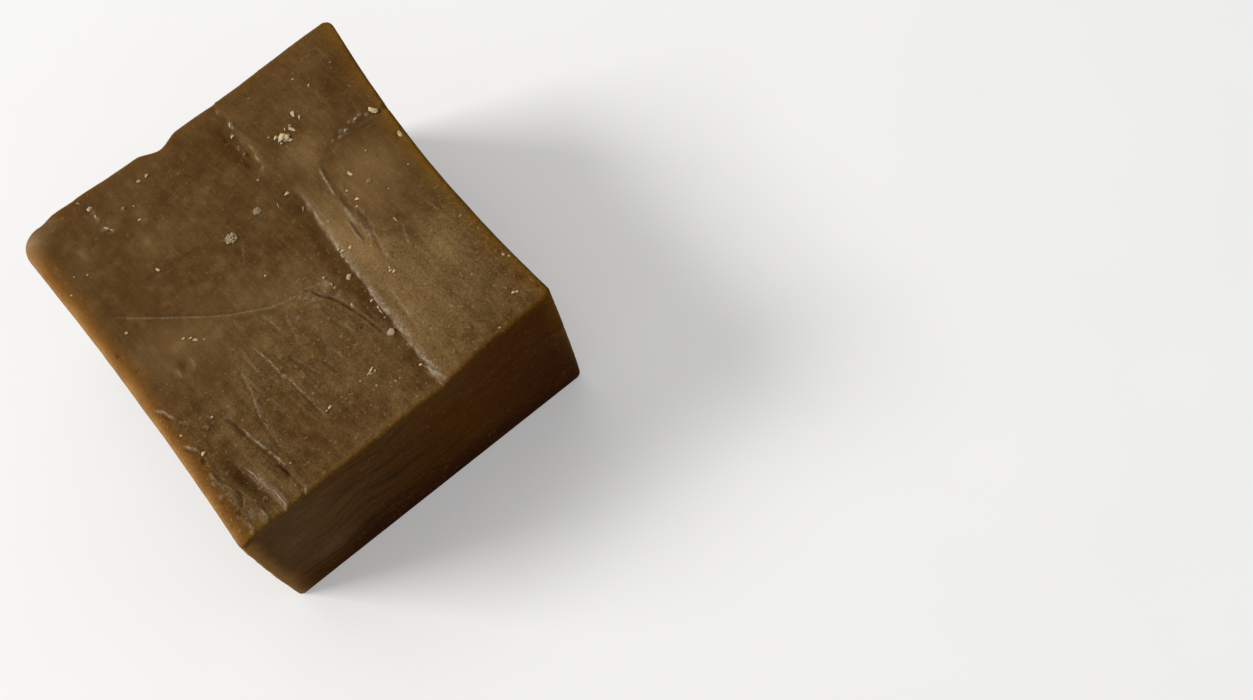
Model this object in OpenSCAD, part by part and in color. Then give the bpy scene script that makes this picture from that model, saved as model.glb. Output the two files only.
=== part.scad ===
// A hand-cut bar of soap: a squarish block, cut square when it was soft, that lies on its flat underside.
// X runs along the front face, Y from the front face to the far one, Z up. The origin is under its middle.
// Its right part stands higher, and a ridge with a torn lip runs along its edge from front to back.

/* [Block] */
// Length along the front face, at the foot
block_l = 70.5; // [60:0.5:90]
// Depth from the front face to the far face, at the foot
block_d = 73; // [60:0.5:90]
// Height of the low left part of the top
block_h = 43.2; // [30:0.1:60]

/* [Lean of the sides] */
// How far the ends of the left side lean in by the top
left_lean = 1.4; // [0:0.1:4]
// How far the middle of the left side draws in beyond its ends, at the top
left_draw = 0.8; // [0:0.1:3]
// How far the left side swells out halfway up
left_belly = 0.3; // [0:0.1:1]
// How far the ends of the far side lean in by the top
far_lean = 0.3; // [0:0.1:4]
// How far the middle of the far side draws in beyond its ends, at the top
far_draw = 0.5; // [0:0.1:3]
// How far the left end of the front face leans in by the top
front_left_lean = 0.8; // [0:0.1:4]
// How far the right end of the front face leans in by the top
front_right_lean = 1.4; // [0:0.1:4]
// How far the near end of the right side leans in by the top
right_near_lean = 2.3; // [0:0.1:4]
// How far its far end leans out by the top
right_far_lean_out = 0.4; // [0:0.1:2]
// How far the middle of the right side draws in beyond its ends, at the top
right_draw = 2.3; // [0:0.1:3]
// How far the right side swells out halfway up
right_belly = 0.2; // [0:0.1:1]

/* [Edges and corners] */
// Radius of the edge round the top
top_edge_r = 0.9; // [0.4:0.1:2]
// Radius of the edge round the foot
foot_edge_r = 0.8; // [0.4:0.1:2]
// Radius of the near left upright corner
near_left_r = 1.2; // [1:0.1:8]
// Radius of the near right upright corner
near_right_r = 1.7; // [1:0.1:8]
// Radius of the far right upright corner
far_right_r = 2.2; // [1:0.1:8]
// Radius of the far left upright corner, the one that is rubbed round
far_left_r = 5; // [1:0.1:8]
// Width of the soft shoulder along the left edge of the top
shoulder_w = 3.6; // [1:0.1:8]
// Drop of that shoulder at the edge
shoulder_drop = 1.1; // [0:0.1:3]

/* [Nick in the far edge] */
// Width of the nick in the far edge of the top
nick_w = 9; // [4:0.5:20]
// How deep the nick cuts into that edge
nick_d = 1.4; // [0:0.1:4]
// How far down the far side the nick runs out
nick_h = 20; // [5:1:30]

/* [Raised right part] */
// Rise of the right part above the left, at the front face
slab_near_h = 2.2; // [0:0.1:6]
// The same rise at the far face
slab_far_h = 1.2; // [0:0.1:6]
// Width of the slope between the ridge and the full rise, at the front face
slab_near_slope_w = 11; // [4:0.5:20]
// The same width at the far face, where the top rises slowly to its corner
slab_far_slope_w = 24; // [4:0.5:26]
// Height of the torn lip that faces left along the ridge
lip_h = 0.8; // [0:0.1:3]
// Distance from the far face over which the lip runs out
lip_run_out = 8; // [2:0.5:20]
// Width of the lip's steep face
lip_w = 0.5; // [0.3:0.1:2]
// Width over which the lip rises where it isn't torn
lip_soft_w = 8; // [2:0.5:12]
// Depth of the trough at the foot of the lip
trough_d = 0.7; // [0:0.1:3]
// Width of that trough
trough_w = 4.6; // [1:0.1:8]

/* [Crack beside the ridge] */
// Width of the crack that leaves the trough
crack_w = 0.9; // [0.4:0.1:2]
// Depth of that crack
crack_d = 0.8; // [0:0.1:3]
// Height of the pinched crease that carries the crack on to the far left
crease_h = 0.35; // [0:0.05:1]
// Width of that crease
crease_w = 2; // [1:0.1:4]

/* [Folds at the near left corner] */
// Width of the hollow at the left of the outer fold, at the front face
outer_fold_w = 4.5; // [1:0.1:6]
// Depth of the outer fold
outer_fold_d = 1.1; // [0:0.1:3]
// Width of the hollow at the left of the inner fold
inner_fold_w = 1.7; // [1:0.1:4]
// Depth of the inner fold
inner_fold_d = 0.55; // [0:0.05:2]
// Width of the steep face of both folds
fold_rise_w = 0.6; // [0.3:0.1:2]

/* [Smaller marks on the top] */
// Height of the thin welt on the right part
welt_h = 0.35; // [0:0.05:1]
// Width of that welt
welt_w = 1.8; // [1:0.1:4]
// Depth of the drag groove that crosses the right part
drag_d = 0.4; // [0:0.05:1]
// Width of that groove
drag_w = 2.6; // [1:0.1:5]
// Height of the slow waves over the whole top
wave_h = 0.15; // [0:0.05:0.5]
// Depth of the deepest thumb dent
dent_d = 0.5; // [0:0.05:1]

/* [Smoothness] */
// Height of one step of the sides' facets
side_step = 11; // [6:0.5:22]

/* [Hidden] */

soap_brown = [0.42, 0.31, 0.17];

// Places on the top are shares: u of the length, from the left side, and v of the depth, from the front face.
// Each line below lists [v, u] from the front face to the far one.
ridge_line = [
    [0, 0.632], [0.07, 0.64], [0.21, 0.647], [0.3, 0.651], [0.39, 0.654], [0.46, 0.656], [0.53, 0.661],
    [0.62, 0.666], [0.67, 0.661], [0.72, 0.637], [0.75, 0.615], [0.78, 0.63], [0.83, 0.633], [0.89, 0.615],
    [0.94, 0.621], [1, 0.618]
];
crack_line = [
    [0, 0.612], [0.07, 0.628], [0.14, 0.62], [0.21, 0.609], [0.25, 0.602], [0.28, 0.592], [0.31, 0.583],
    [0.34, 0.573], [0.355, 0.565], [0.37, 0.548], [0.4, 0.532], [0.415, 0.518], [1, 0.49]
];
outer_fold_line = [
    [0, 0.138], [0.04, 0.13], [0.08, 0.12], [0.11, 0.11], [0.15, 0.094], [0.18, 0.079], [0.23, 0.061],
    [0.27, 0.053], [0.31, 0.048], [0.36, 0.038], [0.4, 0.03], [1, 0.05]
];
inner_fold_line = [
    [0, 0.201], [0.04, 0.195], [0.08, 0.188], [0.12, 0.184], [0.155, 0.171], [0.2, 0.164], [0.24, 0.161],
    [0.28, 0.142], [0.33, 0.13], [1, 0.12]
];
welt_line = [
    [0, 0.75], [0.4, 0.748], [0.48, 0.743], [0.56, 0.744], [0.62, 0.747], [0.66, 0.755], [0.69, 0.776],
    [1, 0.8]
];
// The crease and the drag groove run across the bar, so they list [u, v] instead
crease_line = [
    [0.07, 0.66], [0.09, 0.645], [0.12, 0.62], [0.15, 0.6], [0.2, 0.563], [0.275, 0.505], [0.35, 0.459],
    [0.4, 0.437], [0.465, 0.423], [0.515, 0.416]
];
drag_line = [[0, 0.73], [0.7, 0.7], [0.81, 0.683], [0.88, 0.69], [0.94, 0.689], [1, 0.68]];

// How strong each form is along its line: [v, share of the full size]
lip_strength = [
    [0, 0.4], [0.05, 1], [0.62, 0.9], [0.66, 0.05], [0.74, 0.05], [0.78, 0.4], [0.9, 0.35], [1, 0.1]
];
trough_strength = [
    [0, 0.3], [0.1, 1], [0.62, 1], [0.67, 0.2], [0.74, 0.2], [0.8, 1], [0.93, 0.9], [1, 0.3]
];
crack_strength = [[0, 0], [0.08, 0.4], [0.14, 1], [0.36, 1], [0.42, 0.5], [0.44, 0]];
outer_fold_strength = [[0, 0.5], [0.05, 1], [0.1, 0.9], [0.2, 0.6], [0.3, 0.3], [0.4, 0]];
inner_fold_strength = [[0, 0.5], [0.05, 1], [0.1, 1], [0.16, 0.6], [0.25, 0.9], [0.31, 0]];
welt_strength = [[0.38, 0], [0.45, 0.7], [0.62, 1], [0.69, 0]];
drag_strength = [[0.77, 0], [0.83, 0.7], [0.98, 1]];

// Thumb dents: [u, v, radius as a share of the length, depth as a share of dent_d]
dents = [
    [0.145, 0.445, 0.03, 0.7],
    [0.105, 0.443, 0.02, 0.5],
    [0.11, 0.327, 0.05, 0.6],
    [0.482, 0.363, 0.04, 0.6],
    [0.52, 0.718, 0.07, 0.6],
    [0.97, 0.827, 0.1, 1],
    [0.07, 0.886, 0.06, 0.7],
    [0.39, 0.052, 0.12, 0.5],
    [0.235, 0.61, 0.04, 0.3]
];

// The slow waves: how many turns each makes along u and along v
wave_turns = [[1.3, 0.35], [0.4, -1.1]];

// How high the crease stands along u: it fades in near the left side and out where the crack begins
crease_strength = [[0.07, 0], [0.09, 0.3], [0.11, 0.7], [0.13, 1], [0.48, 1], [0.5, 0.5], [0.52, 0]];

// Where the nick lies along the far edge, and the share of the depth over which it runs out
nick_u = 0.432;
far_reach = 0.2;

// The least radius that an upright corner keeps where it is drawn in
least_corner_r = 0.2;

// Facets between neighbouring lines of the top: columns from the left side on, rows from the front face on
column_counts = [5, 4, 1, 2, 2, 1, 14, 1, 1, 2, 1, 5, 1, 1, 9];
row_counts = [26, 1, 1, 8, 2, 2, 9, 5];
edge_steps = 3;
foot_steps = 2;

function mix(a, b, t) = a + (b - a) * t;
function held(t) = min(1, max(0, t));
function ease(t) = let (c = held(t)) c * c * (3 - 2 * c);
function hump(t) = ease(1 - abs(t));
function sum(list, i = 0) = i >= len(list) ? 0 : list[i] + sum(list, i + 1);

// A hollow that deepens over its width and ends at a steep face: s is the distance from the face's foot
function fold(s, width, depth, rise) =
    s < 0 ? -depth * ease(1 + s / width) : -depth * (1 - ease(s / rise));

// Distance from a place to its line, in millimetres along the length
function past(u, v, line) = (u - lookup(v, line)) * block_l;

// The raised right part, with its lip and the trough at its foot
function slab_z(u, v) =
    let (
        s = past(u, v, ridge_line),
        torn = lookup(v, lip_strength),
        slope_w = mix(slab_near_slope_w, slab_far_slope_w, v * v)
    )
    mix(slab_near_h, slab_far_h, v) * ease(s / slope_w)
    + lip_h * ease((1 - v) * block_d / lip_run_out) * mix(ease(0.5 + s / lip_soft_w), ease(s / lip_w), torn)
    + lookup(v, trough_strength) * fold(s, trough_w, trough_d, lip_w);

// The hollow of the outer fold narrows as its line nears the left side
function outer_hollow_w(v) = outer_fold_w * lookup(v, outer_fold_line) / lookup(0, outer_fold_line);

// The folds at the near left corner
function corner_folds_z(u, v) =
    let (
        outer = fold(past(u, v, outer_fold_line), outer_hollow_w(v), outer_fold_d, fold_rise_w),
        inner = fold(past(u, v, inner_fold_line), inner_fold_w, inner_fold_d, fold_rise_w)
    )
    lookup(v, outer_fold_strength) * outer + lookup(v, inner_fold_strength) * inner;

// The crack and the crease that carries it on
function crack_z(u, v) =
    let (crease_s = (v - lookup(u, crease_line)) * block_d)
    crease_h * lookup(u, crease_strength) * hump(2 * crease_s / crease_w)
    - crack_d * lookup(v, crack_strength) * hump(2 * past(u, v, crack_line) / crack_w);

// The welt and the drag groove on the right part
function welt_z(u, v) =
    welt_h * lookup(v, welt_strength) * hump(2 * past(u, v, welt_line) / welt_w)
    - drag_d * lookup(u, drag_strength) * hump(2 * (v - lookup(u, drag_line)) * block_d / drag_w);

// Distance from a dent's middle as a share of its radius
function from_dent(u, v, dent) =
    norm([(u - dent[0]) * block_l, (v - dent[1]) * block_d]) / (dent[2] * block_l);

// Slow waves and thumb dents
function dents_z(u, v) =
    wave_h * sum([for (turns = wave_turns) sin(360 * (turns[0] * u + turns[1] * v))])
    - dent_d * sum([for (dent = dents) dent[3] * hump(from_dent(u, v, dent))]);

// The left edge of the top rolls down in a soft shoulder, which runs out round the rubbed corner
function shoulder_z(u, v) =
    let (
        from_left = u * block_l,
        from_far = (1 - v) * block_d,
        round_corner = ease(2 - from_left / far_left_r),
        t = held(max(1 - from_left / shoulder_w, (1 - from_far / shoulder_w) * round_corner))
    )
    -shoulder_drop * t * t;

// Height of the top at a place
function top_z(u, v) =
    block_h + slab_z(u, v) + corner_folds_z(u, v) + crack_z(u, v) + welt_z(u, v) + dents_z(u, v)
    + shoulder_z(u, v);

function corner_r(u, v) =
    v < 0.5 ? (u < 0.5 ? near_left_r : near_right_r) : (u < 0.5 ? far_left_r : far_right_r);

// A place on the block drawn in by inset, with its upright corners rounded
function plan(u, v, inset) =
    let (
        half = [block_l / 2 - inset, block_d / 2 - inset],
        flat = [(2 * u - 1) * half[0], (2 * v - 1) * half[1]],
        r = max(corner_r(u, v) - inset, least_corner_r),
        q = [abs(flat[0]) - half[0] + r, abs(flat[1]) - half[1] + r]
    )
    min(q) <= 0 ? flat
    : let (turned = q * max(q) / norm(q))
      [sign(flat[0]) * (half[0] - r + turned[0]), sign(flat[1]) * (half[1] - r + turned[1])];

// Nothing at both ends and one in the middle
function bow(t) = 1 - pow(2 * t - 1, 2);

// The lean, the drawn-in sides and the nick, which all grow towards the top
function leaned(p, u, v, z) =
    let (
        up = z / block_h,
        left_in = (left_lean + left_draw * bow(v)) * (1 - u) * up - left_belly * (1 - u) * bow(held(up)),
        right_in = (mix(right_near_lean, -right_far_lean_out, v) + right_draw * bow(v)) * u * up
            - right_belly * u * bow(held(up)),
        front_in = mix(front_left_lean, front_right_lean, u) * (1 - v) * up,
        far_in = (far_lean + far_draw * bow(u)) * v * up,
        nick_in = nick_d * hump(2 * (u - nick_u) * block_l / nick_w) * ease((v - 1 + far_reach) / far_reach)
            * ease((z - block_h + nick_h) / nick_h)
    )
    [p[0] + left_in - right_in, p[1] + front_in - far_in - nick_in, z];

function bar_point(uv, inset, z) = leaned(plan(uv[0], uv[1], inset), uv[0], uv[1], z);

// The stops that the columns follow at one depth, and those that the rows follow at one length
function column_stops(v) =
    let (
        outer = lookup(v, outer_fold_line),
        inner = lookup(v, inner_fold_line),
        crack = lookup(v, crack_line),
        ridge = lookup(v, ridge_line),
        welt = lookup(v, welt_line)
    )
    [
        0, outer - outer_hollow_w(v) / block_l, outer, outer + fold_rise_w / block_l,
        inner - inner_fold_w / block_l, inner, inner + fold_rise_w / block_l,
        crack - crack_w / 2 / block_l, crack, crack + crack_w / 2 / block_l,
        ridge, ridge + lip_w / block_l,
        welt - welt_w / 2 / block_l, welt, welt + welt_w / 2 / block_l, 1
    ];
function row_stops(u) =
    let (crease = lookup(u, crease_line), drag = lookup(u, drag_line))
    [
        0, crease - crease_w / 2 / block_d, crease, crease + crease_w / 2 / block_d,
        drag - drag_w / 2 / block_d, drag, drag + drag_w / 2 / block_d, 1 - far_left_r / block_d, 1
    ];

// The stop before each line of the grid, and how far the line lies on towards the next one
function steps(counts) =
    concat([[0, 0]], [for (i = [0 : len(counts) - 1]) for (k = [1 : counts[i]]) [i, k / counts[i]]]);
function at_step(stops, step) =
    step[1] == 0 ? stops[step[0]] : mix(stops[step[0]], stops[step[0] + 1], step[1]);

// Columns bend with the depth and rows with the length, so each place is found in a few rounds
function place(column, row, uv, rounds = 4) =
    rounds == 0 ? uv
    : let (u = at_step(column_stops(uv[1]), column), v = at_step(row_stops(u), row))
      place(column, row, [u, v], rounds - 1);

cols = sum(column_counts);
rows = sum(row_counts);
grid = [for (row = steps(row_counts)) for (column = steps(column_counts)) place(column, row, [0.5, 0.5])];
function grid_i(i, j) = j * (cols + 1) + i;

// The rim of the grid, once round from the near left corner, seen from above
rim = concat(
    [for (i = [0 : cols - 1]) grid_i(i, 0)],
    [for (j = [0 : rows - 1]) grid_i(cols, j)],
    [for (i = [cols : -1 : 1]) grid_i(i, rows)],
    [for (j = [rows : -1 : 1]) grid_i(0, j)]
);

function edge_ring(turn) =
    [for (k = rim) let (uv = grid[k])
        bar_point(uv, top_edge_r * (1 - sin(turn)), top_z(uv[0], uv[1]) - top_edge_r * (1 - cos(turn)))];
function side_ring(down) =
    [for (k = rim) let (uv = grid[k])
        bar_point(uv, 0, mix(top_z(uv[0], uv[1]) - top_edge_r, foot_edge_r, down))];
function foot_ring(turn) =
    [for (k = rim) bar_point(grid[k], foot_edge_r * (1 - cos(turn)), foot_edge_r * (1 - sin(turn)))];

side_steps = ceil(block_h / side_step);
rings = concat(
    [for (k = [1 : edge_steps]) edge_ring(90 * k / edge_steps)],
    [for (k = [1 : side_steps]) side_ring(k / side_steps)],
    [for (k = [1 : foot_steps]) foot_ring(90 * k / foot_steps)]
);

bar_points = concat(
    [for (uv = grid) bar_point(uv, top_edge_r, top_z(uv[0], uv[1]))],
    [for (ring = rings) for (p = ring) p]
);

// Ring 0 is the rim of the grid itself
function ring_i(ring, k) =
    let (at = k % len(rim))
    ring == 0 ? rim[at] : len(grid) + (ring - 1) * len(rim) + at;

// Each cell is two triangles, wound clockwise seen from outside
function two_triangles(a, b, c, d) = [[a, b, c], [a, c, d]];
function grid_cell(i, j) =
    two_triangles(grid_i(i, j), grid_i(i, j + 1), grid_i(i + 1, j + 1), grid_i(i + 1, j));
function ring_cell(r, k) =
    two_triangles(ring_i(r, k), ring_i(r, k + 1), ring_i(r + 1, k + 1), ring_i(r + 1, k));

bar_faces = concat(
    [for (j = [0 : rows - 1]) for (i = [0 : cols - 1]) each grid_cell(i, j)],
    [for (r = [0 : len(rings) - 1]) for (k = [0 : len(rim) - 1]) each ring_cell(r, k)],
    [[for (k = [0 : len(rim) - 1]) ring_i(len(rings), k)]]
);

module soap_bar() {
    color(soap_brown) polyhedron(bar_points, bar_faces, convexity = 4);
}

soap_bar();
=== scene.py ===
# %% [markdown]
# # A hand-cut bar of soap
#
# The object is one block of olive-brown soap, cut while it was soft and then dried for months. Its right
# part stands a little higher than the rest and is called the slab here. The real bar is one piece, so one
# mesh carries nearly everything: the slab's torn ridge, a crack, folds, dents and scratches. Crumbs and
# tiny grains of the same soap stick to it, and they are the only other pieces. This file starts by loading
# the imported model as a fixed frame. Its sizes are metres. The soap's sizes are written in millimetres here,
# and multiplied by MM where Blender needs them.

import bpy
import numpy as np
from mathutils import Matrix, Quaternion, Vector


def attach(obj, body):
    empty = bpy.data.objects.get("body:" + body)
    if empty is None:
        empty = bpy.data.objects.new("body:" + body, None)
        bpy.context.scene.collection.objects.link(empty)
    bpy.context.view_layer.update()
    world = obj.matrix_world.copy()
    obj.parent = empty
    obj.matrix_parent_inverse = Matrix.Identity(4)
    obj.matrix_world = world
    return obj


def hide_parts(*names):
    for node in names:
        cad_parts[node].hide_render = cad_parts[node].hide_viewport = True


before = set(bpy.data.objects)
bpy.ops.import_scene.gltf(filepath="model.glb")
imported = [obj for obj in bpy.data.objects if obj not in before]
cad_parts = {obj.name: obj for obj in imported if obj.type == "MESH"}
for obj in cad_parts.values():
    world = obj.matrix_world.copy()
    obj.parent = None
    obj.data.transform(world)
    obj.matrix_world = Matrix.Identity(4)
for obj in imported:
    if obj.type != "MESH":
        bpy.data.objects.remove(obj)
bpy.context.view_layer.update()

MM = 0.001

# %% [markdown]
# ## Camera
#
# The block was seen from high above its near side, through a lens that was turned a little. A camera is
# easiest to place by three things: where it stands, the spot that it aims at, and its roll about that line.
# The focal length is in pixels of the 1253 x 700 frame, and Blender wants it in millimetres on a sensor.

# %% Camera
PHOTO_W = 1253
FOCAL_PX = 1300
SENSOR_W_MM = 36
LENS_AT = Vector((-7.83, -108.64, 252.37)) * MM
AIM_AT = Vector((36.25, -50.18, 43.0)) * MM
ROLL_DEG = 2.98

camera = bpy.data.objects.new("camera", bpy.data.cameras.new("camera"))
bpy.context.scene.collection.objects.link(camera)
camera.data.sensor_width = SENSOR_W_MM
camera.data.lens = FOCAL_PX / PHOTO_W * SENSOR_W_MM
camera.location = LENS_AT
aim = (AIM_AT - LENS_AT).to_track_quat("-Z", "Y")
camera.rotation_mode = "QUATERNION"
camera.rotation_quaternion = aim @ Quaternion((0, 0, 1), -np.radians(ROLL_DEG))
bpy.context.scene.camera = camera
print("lens, mm:", round(camera.data.lens, 2))

# %% [markdown]
# ## Light
#
# Soft window light comes from the left and the far side: it rakes over the top, so folds and cracks show,
# and it leaves the front face in shade. A second, wide and faint panel stands above the far side, and the
# room's even light fills the rest. A lamp's power is worked out from the level that it gives: at level 1 a
# white card that faces it renders white.

# %% Light
def softbox(name, towards, distance, size, level):
    """A square panel, a distance away and aimed at the soap, that lights a facing card to a level."""
    lamp = bpy.data.objects.new(name, bpy.data.lights.new(name, "AREA"))
    bpy.context.scene.collection.objects.link(lamp)
    lamp.data.size = size
    lamp.data.energy = level * np.pi ** 2 * distance ** 2
    way = Vector(towards).normalized()
    lamp.location = way * distance
    lamp.rotation_mode = "QUATERNION"
    lamp.rotation_quaternion = (-way).to_track_quat("-Z", "Y")


WINDOW_LEVEL = 0.82
PANEL_LEVEL = 0.14
ROOM_LEVEL = 0.36
softbox("window", towards=(-0.64, 0.44, 0.63), distance=2.2, size=0.85, level=WINDOW_LEVEL)
softbox("panel", towards=(0.05, 0.42, 0.90), distance=2.5, size=1.5, level=PANEL_LEVEL)

scene = bpy.context.scene
scene.view_settings.view_transform = "Standard"
room = bpy.data.worlds.new("room")
scene.world = room
room.use_nodes = True


def add(tree, kind, settings=None, inputs=None):
    """Adds a node, sets its settings, and gives each named or numbered input a value or a link."""
    made = tree.nodes.new(kind)
    for key, value in (settings or {}).items():
        setattr(made, key, value)
    for key, value in (inputs or {}).items():
        if isinstance(value, bpy.types.NodeSocket):
            tree.links.new(value, made.inputs[key])
        else:
            made.inputs[key].default_value = value
    return made


room_tree = room.node_tree
room_tree.nodes.clear()
ray = add(room_tree, "ShaderNodeLightPath")
dim = add(room_tree, "ShaderNodeBackground", None, {"Color": (1, 1, 1, 1), "Strength": ROOM_LEVEL})
white = add(room_tree, "ShaderNodeBackground", None, {"Color": (1, 1, 1, 1), "Strength": 1.0})
shown = add(room_tree, "ShaderNodeMixShader", None,
            {0: ray.outputs["Is Camera Ray"], 1: dim.outputs[0], 2: white.outputs[0]})
add(room_tree, "ShaderNodeOutputWorld", None, {"Surface": shown.outputs[0]})

# %% [markdown]
# ## Floor
#
# The floor is a plain pale sheet. It looks nearly white to the camera and in reflections, but it throws
# back less light than white paper would, so that the shaded face of the soap stays as dark as it is in a
# real room.

# %% Floor
def linear(hex_colour):
    """An sRGB colour such as 8A6B45 as the linear red, green, blue and alpha that Blender works in."""
    parts = [int(hex_colour[i:i + 2], 16) / 255 for i in (0, 2, 4)]
    return tuple(p / 12.92 if p <= 0.04045 else ((p + 0.055) / 1.055) ** 2.4 for p in parts) + (1.0,)


def new_material(name):
    """An empty node material and its tree."""
    material = bpy.data.materials.new(name)
    material.use_nodes = True
    material.node_tree.nodes.clear()
    return material, material.node_tree


# The numbered sockets of a colour mix: the share, the colours at share 0 and 1, and the mixed colour
SHARE, AT_NONE, AT_FULL, MIXED = 0, 6, 7, 2
FLOOR_HALF = 1.5
floor_material, tree = new_material("matt_painted_board")
ray = add(tree, "ShaderNodeLightPath")
seen_or_mirrored = add(tree, "ShaderNodeMath", {"operation": "MAXIMUM"},
                       {0: ray.outputs["Is Camera Ray"], 1: ray.outputs["Is Glossy Ray"]})
seen_at_all = add(tree, "ShaderNodeMath", {"operation": "MAXIMUM"},
                  {0: seen_or_mirrored.outputs[0], 1: ray.outputs["Is Transmission Ray"]})
# A share of plain white that only the camera sees keeps the shadow light, as on a lit table
SHADOW_LIFT = 0.25
# The paint is faintly uneven
PAINT_PATCH_MM = 40
place = add(tree, "ShaderNodeTexCoord")
uneven = add(tree, "ShaderNodeTexNoise", None,
             {"Vector": place.outputs["Object"], "Scale": 1 / (PAINT_PATCH_MM * MM)})
pale = add(tree, "ShaderNodeMix", {"data_type": "RGBA"},
           {SHARE: uneven.outputs["Fac"], AT_NONE: linear("F4F3F1"), AT_FULL: linear("FAF9F7")})
tint = add(tree, "ShaderNodeMix", {"data_type": "RGBA"},
           {SHARE: seen_at_all.outputs[0], AT_NONE: linear("8C8A86"), AT_FULL: pale.outputs[MIXED]})
board = add(tree, "ShaderNodeBsdfPrincipled", None,
            {"Base Color": tint.outputs[MIXED], "Roughness": 0.9, "Specular IOR Level": 0.1})
plain = add(tree, "ShaderNodeEmission", None, {"Color": (1, 1, 1, 1), "Strength": 1.0})
lifted = add(tree, "ShaderNodeMath", {"operation": "MULTIPLY"},
             {0: ray.outputs["Is Camera Ray"], 1: SHADOW_LIFT})
seen_board = add(tree, "ShaderNodeMixShader", None,
                 {0: lifted.outputs[0], 1: board.outputs[0], 2: plain.outputs[0]})
add(tree, "ShaderNodeOutputMaterial", None, {"Surface": seen_board.outputs[0]})

floor_mesh = bpy.data.meshes.new("floor")
h = FLOOR_HALF
floor_mesh.from_pydata([(-h, -h, 0), (h, -h, 0), (h, h, 0), (-h, h, 0)], [], [(0, 1, 2, 3)])
floor_mesh.materials.append(floor_material)
floor = bpy.data.objects.new("floor", floor_mesh)
scene.collection.objects.link(floor)
print("floor, m across:", 2 * FLOOR_HALF)

# %% [markdown]
# ## The block's main form
#
# The bar could be sculpted by hand, but its form follows a few rules: four leaning sides, a raised right
# part behind a torn lip, a crack, two folds and some dents. So its surface is written as functions of two
# shares, u along the length and v along the depth. They are the same named values as in the part's own
# source, in millimetres, so that the dressed bar fills the space of the plain solid. A much denser grid
# then leaves room for the fine marks that the solid can't hold.

# %% Values of the block
BLOCK_L, BLOCK_D, BLOCK_H = 70.5, 73, 43.2
LEFT_LEAN, LEFT_DRAW, LEFT_BELLY = 1.4, 0.8, 0.3
FAR_LEAN, FAR_DRAW = 0.3, 0.5
FRONT_LEFT_LEAN, FRONT_RIGHT_LEAN = 0.8, 1.4
RIGHT_NEAR_LEAN, RIGHT_FAR_LEAN_OUT, RIGHT_DRAW, RIGHT_BELLY = 2.3, 0.4, 2.3, 0.2
TOP_EDGE_R, FOOT_EDGE_R = 0.9, 0.8
NEAR_LEFT_R, NEAR_RIGHT_R, FAR_RIGHT_R, FAR_LEFT_R, LEAST_CORNER_R = 1.2, 1.7, 2.2, 5, 0.2
SHOULDER_W, SHOULDER_DROP = 3.6, 1.1
NICK_W, NICK_D, NICK_H, NICK_U, FAR_REACH = 9, 1.4, 20, 0.432, 0.2
SLAB_NEAR_H, SLAB_FAR_H, SLAB_NEAR_SLOPE_W, SLAB_FAR_SLOPE_W = 2.2, 1.2, 11, 24
LIP_H, LIP_RUN_OUT, LIP_W, LIP_SOFT_W, TROUGH_D, TROUGH_W = 0.8, 8, 0.5, 8, 0.7, 4.6
CRACK_W, CRACK_D, CREASE_H, CREASE_W = 0.9, 0.8, 0.35, 2
OUTER_FOLD_W, OUTER_FOLD_D, INNER_FOLD_W, INNER_FOLD_D, FOLD_RISE_W = 4.5, 1.1, 1.7, 0.55, 0.6
WELT_H, WELT_W, DRAG_D, DRAG_W, WAVE_H, DENT_D = 0.35, 1.8, 0.4, 2.6, 0.15, 0.5

# Each line lists [v, u] from the front face to the far one
RIDGE_LINE = [[0, 0.632], [0.07, 0.64], [0.21, 0.647], [0.3, 0.651], [0.39, 0.654], [0.46, 0.656],
              [0.53, 0.661], [0.62, 0.666], [0.67, 0.661], [0.72, 0.637], [0.75, 0.615], [0.78, 0.63],
              [0.83, 0.633], [0.89, 0.615], [0.94, 0.621], [1, 0.618]]
CRACK_LINE = [[0, 0.612], [0.07, 0.628], [0.14, 0.62], [0.21, 0.609], [0.25, 0.602], [0.28, 0.592],
              [0.31, 0.583], [0.34, 0.573], [0.355, 0.565], [0.37, 0.548], [0.4, 0.532], [0.415, 0.518],
              [1, 0.49]]
OUTER_FOLD_LINE = [[0, 0.138], [0.04, 0.13], [0.08, 0.12], [0.11, 0.11], [0.15, 0.094], [0.18, 0.079],
                   [0.23, 0.061], [0.27, 0.053], [0.31, 0.048], [0.36, 0.038], [0.4, 0.03], [1, 0.05]]
INNER_FOLD_LINE = [[0, 0.201], [0.04, 0.195], [0.08, 0.188], [0.12, 0.184], [0.155, 0.171], [0.2, 0.164],
                   [0.24, 0.161], [0.28, 0.142], [0.33, 0.13], [1, 0.12]]
WELT_LINE = [[0, 0.75], [0.4, 0.748], [0.48, 0.743], [0.56, 0.744], [0.62, 0.747], [0.66, 0.755],
             [0.69, 0.776], [1, 0.8]]
# The crease and the drag groove cross the bar, so they list [u, v]
CREASE_LINE = [[0.07, 0.66], [0.09, 0.645], [0.12, 0.62], [0.15, 0.6], [0.2, 0.563], [0.275, 0.505],
               [0.35, 0.459], [0.4, 0.437], [0.465, 0.423], [0.515, 0.416]]
DRAG_LINE = [[0, 0.73], [0.7, 0.7], [0.81, 0.683], [0.88, 0.69], [0.94, 0.689], [1, 0.68]]

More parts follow.
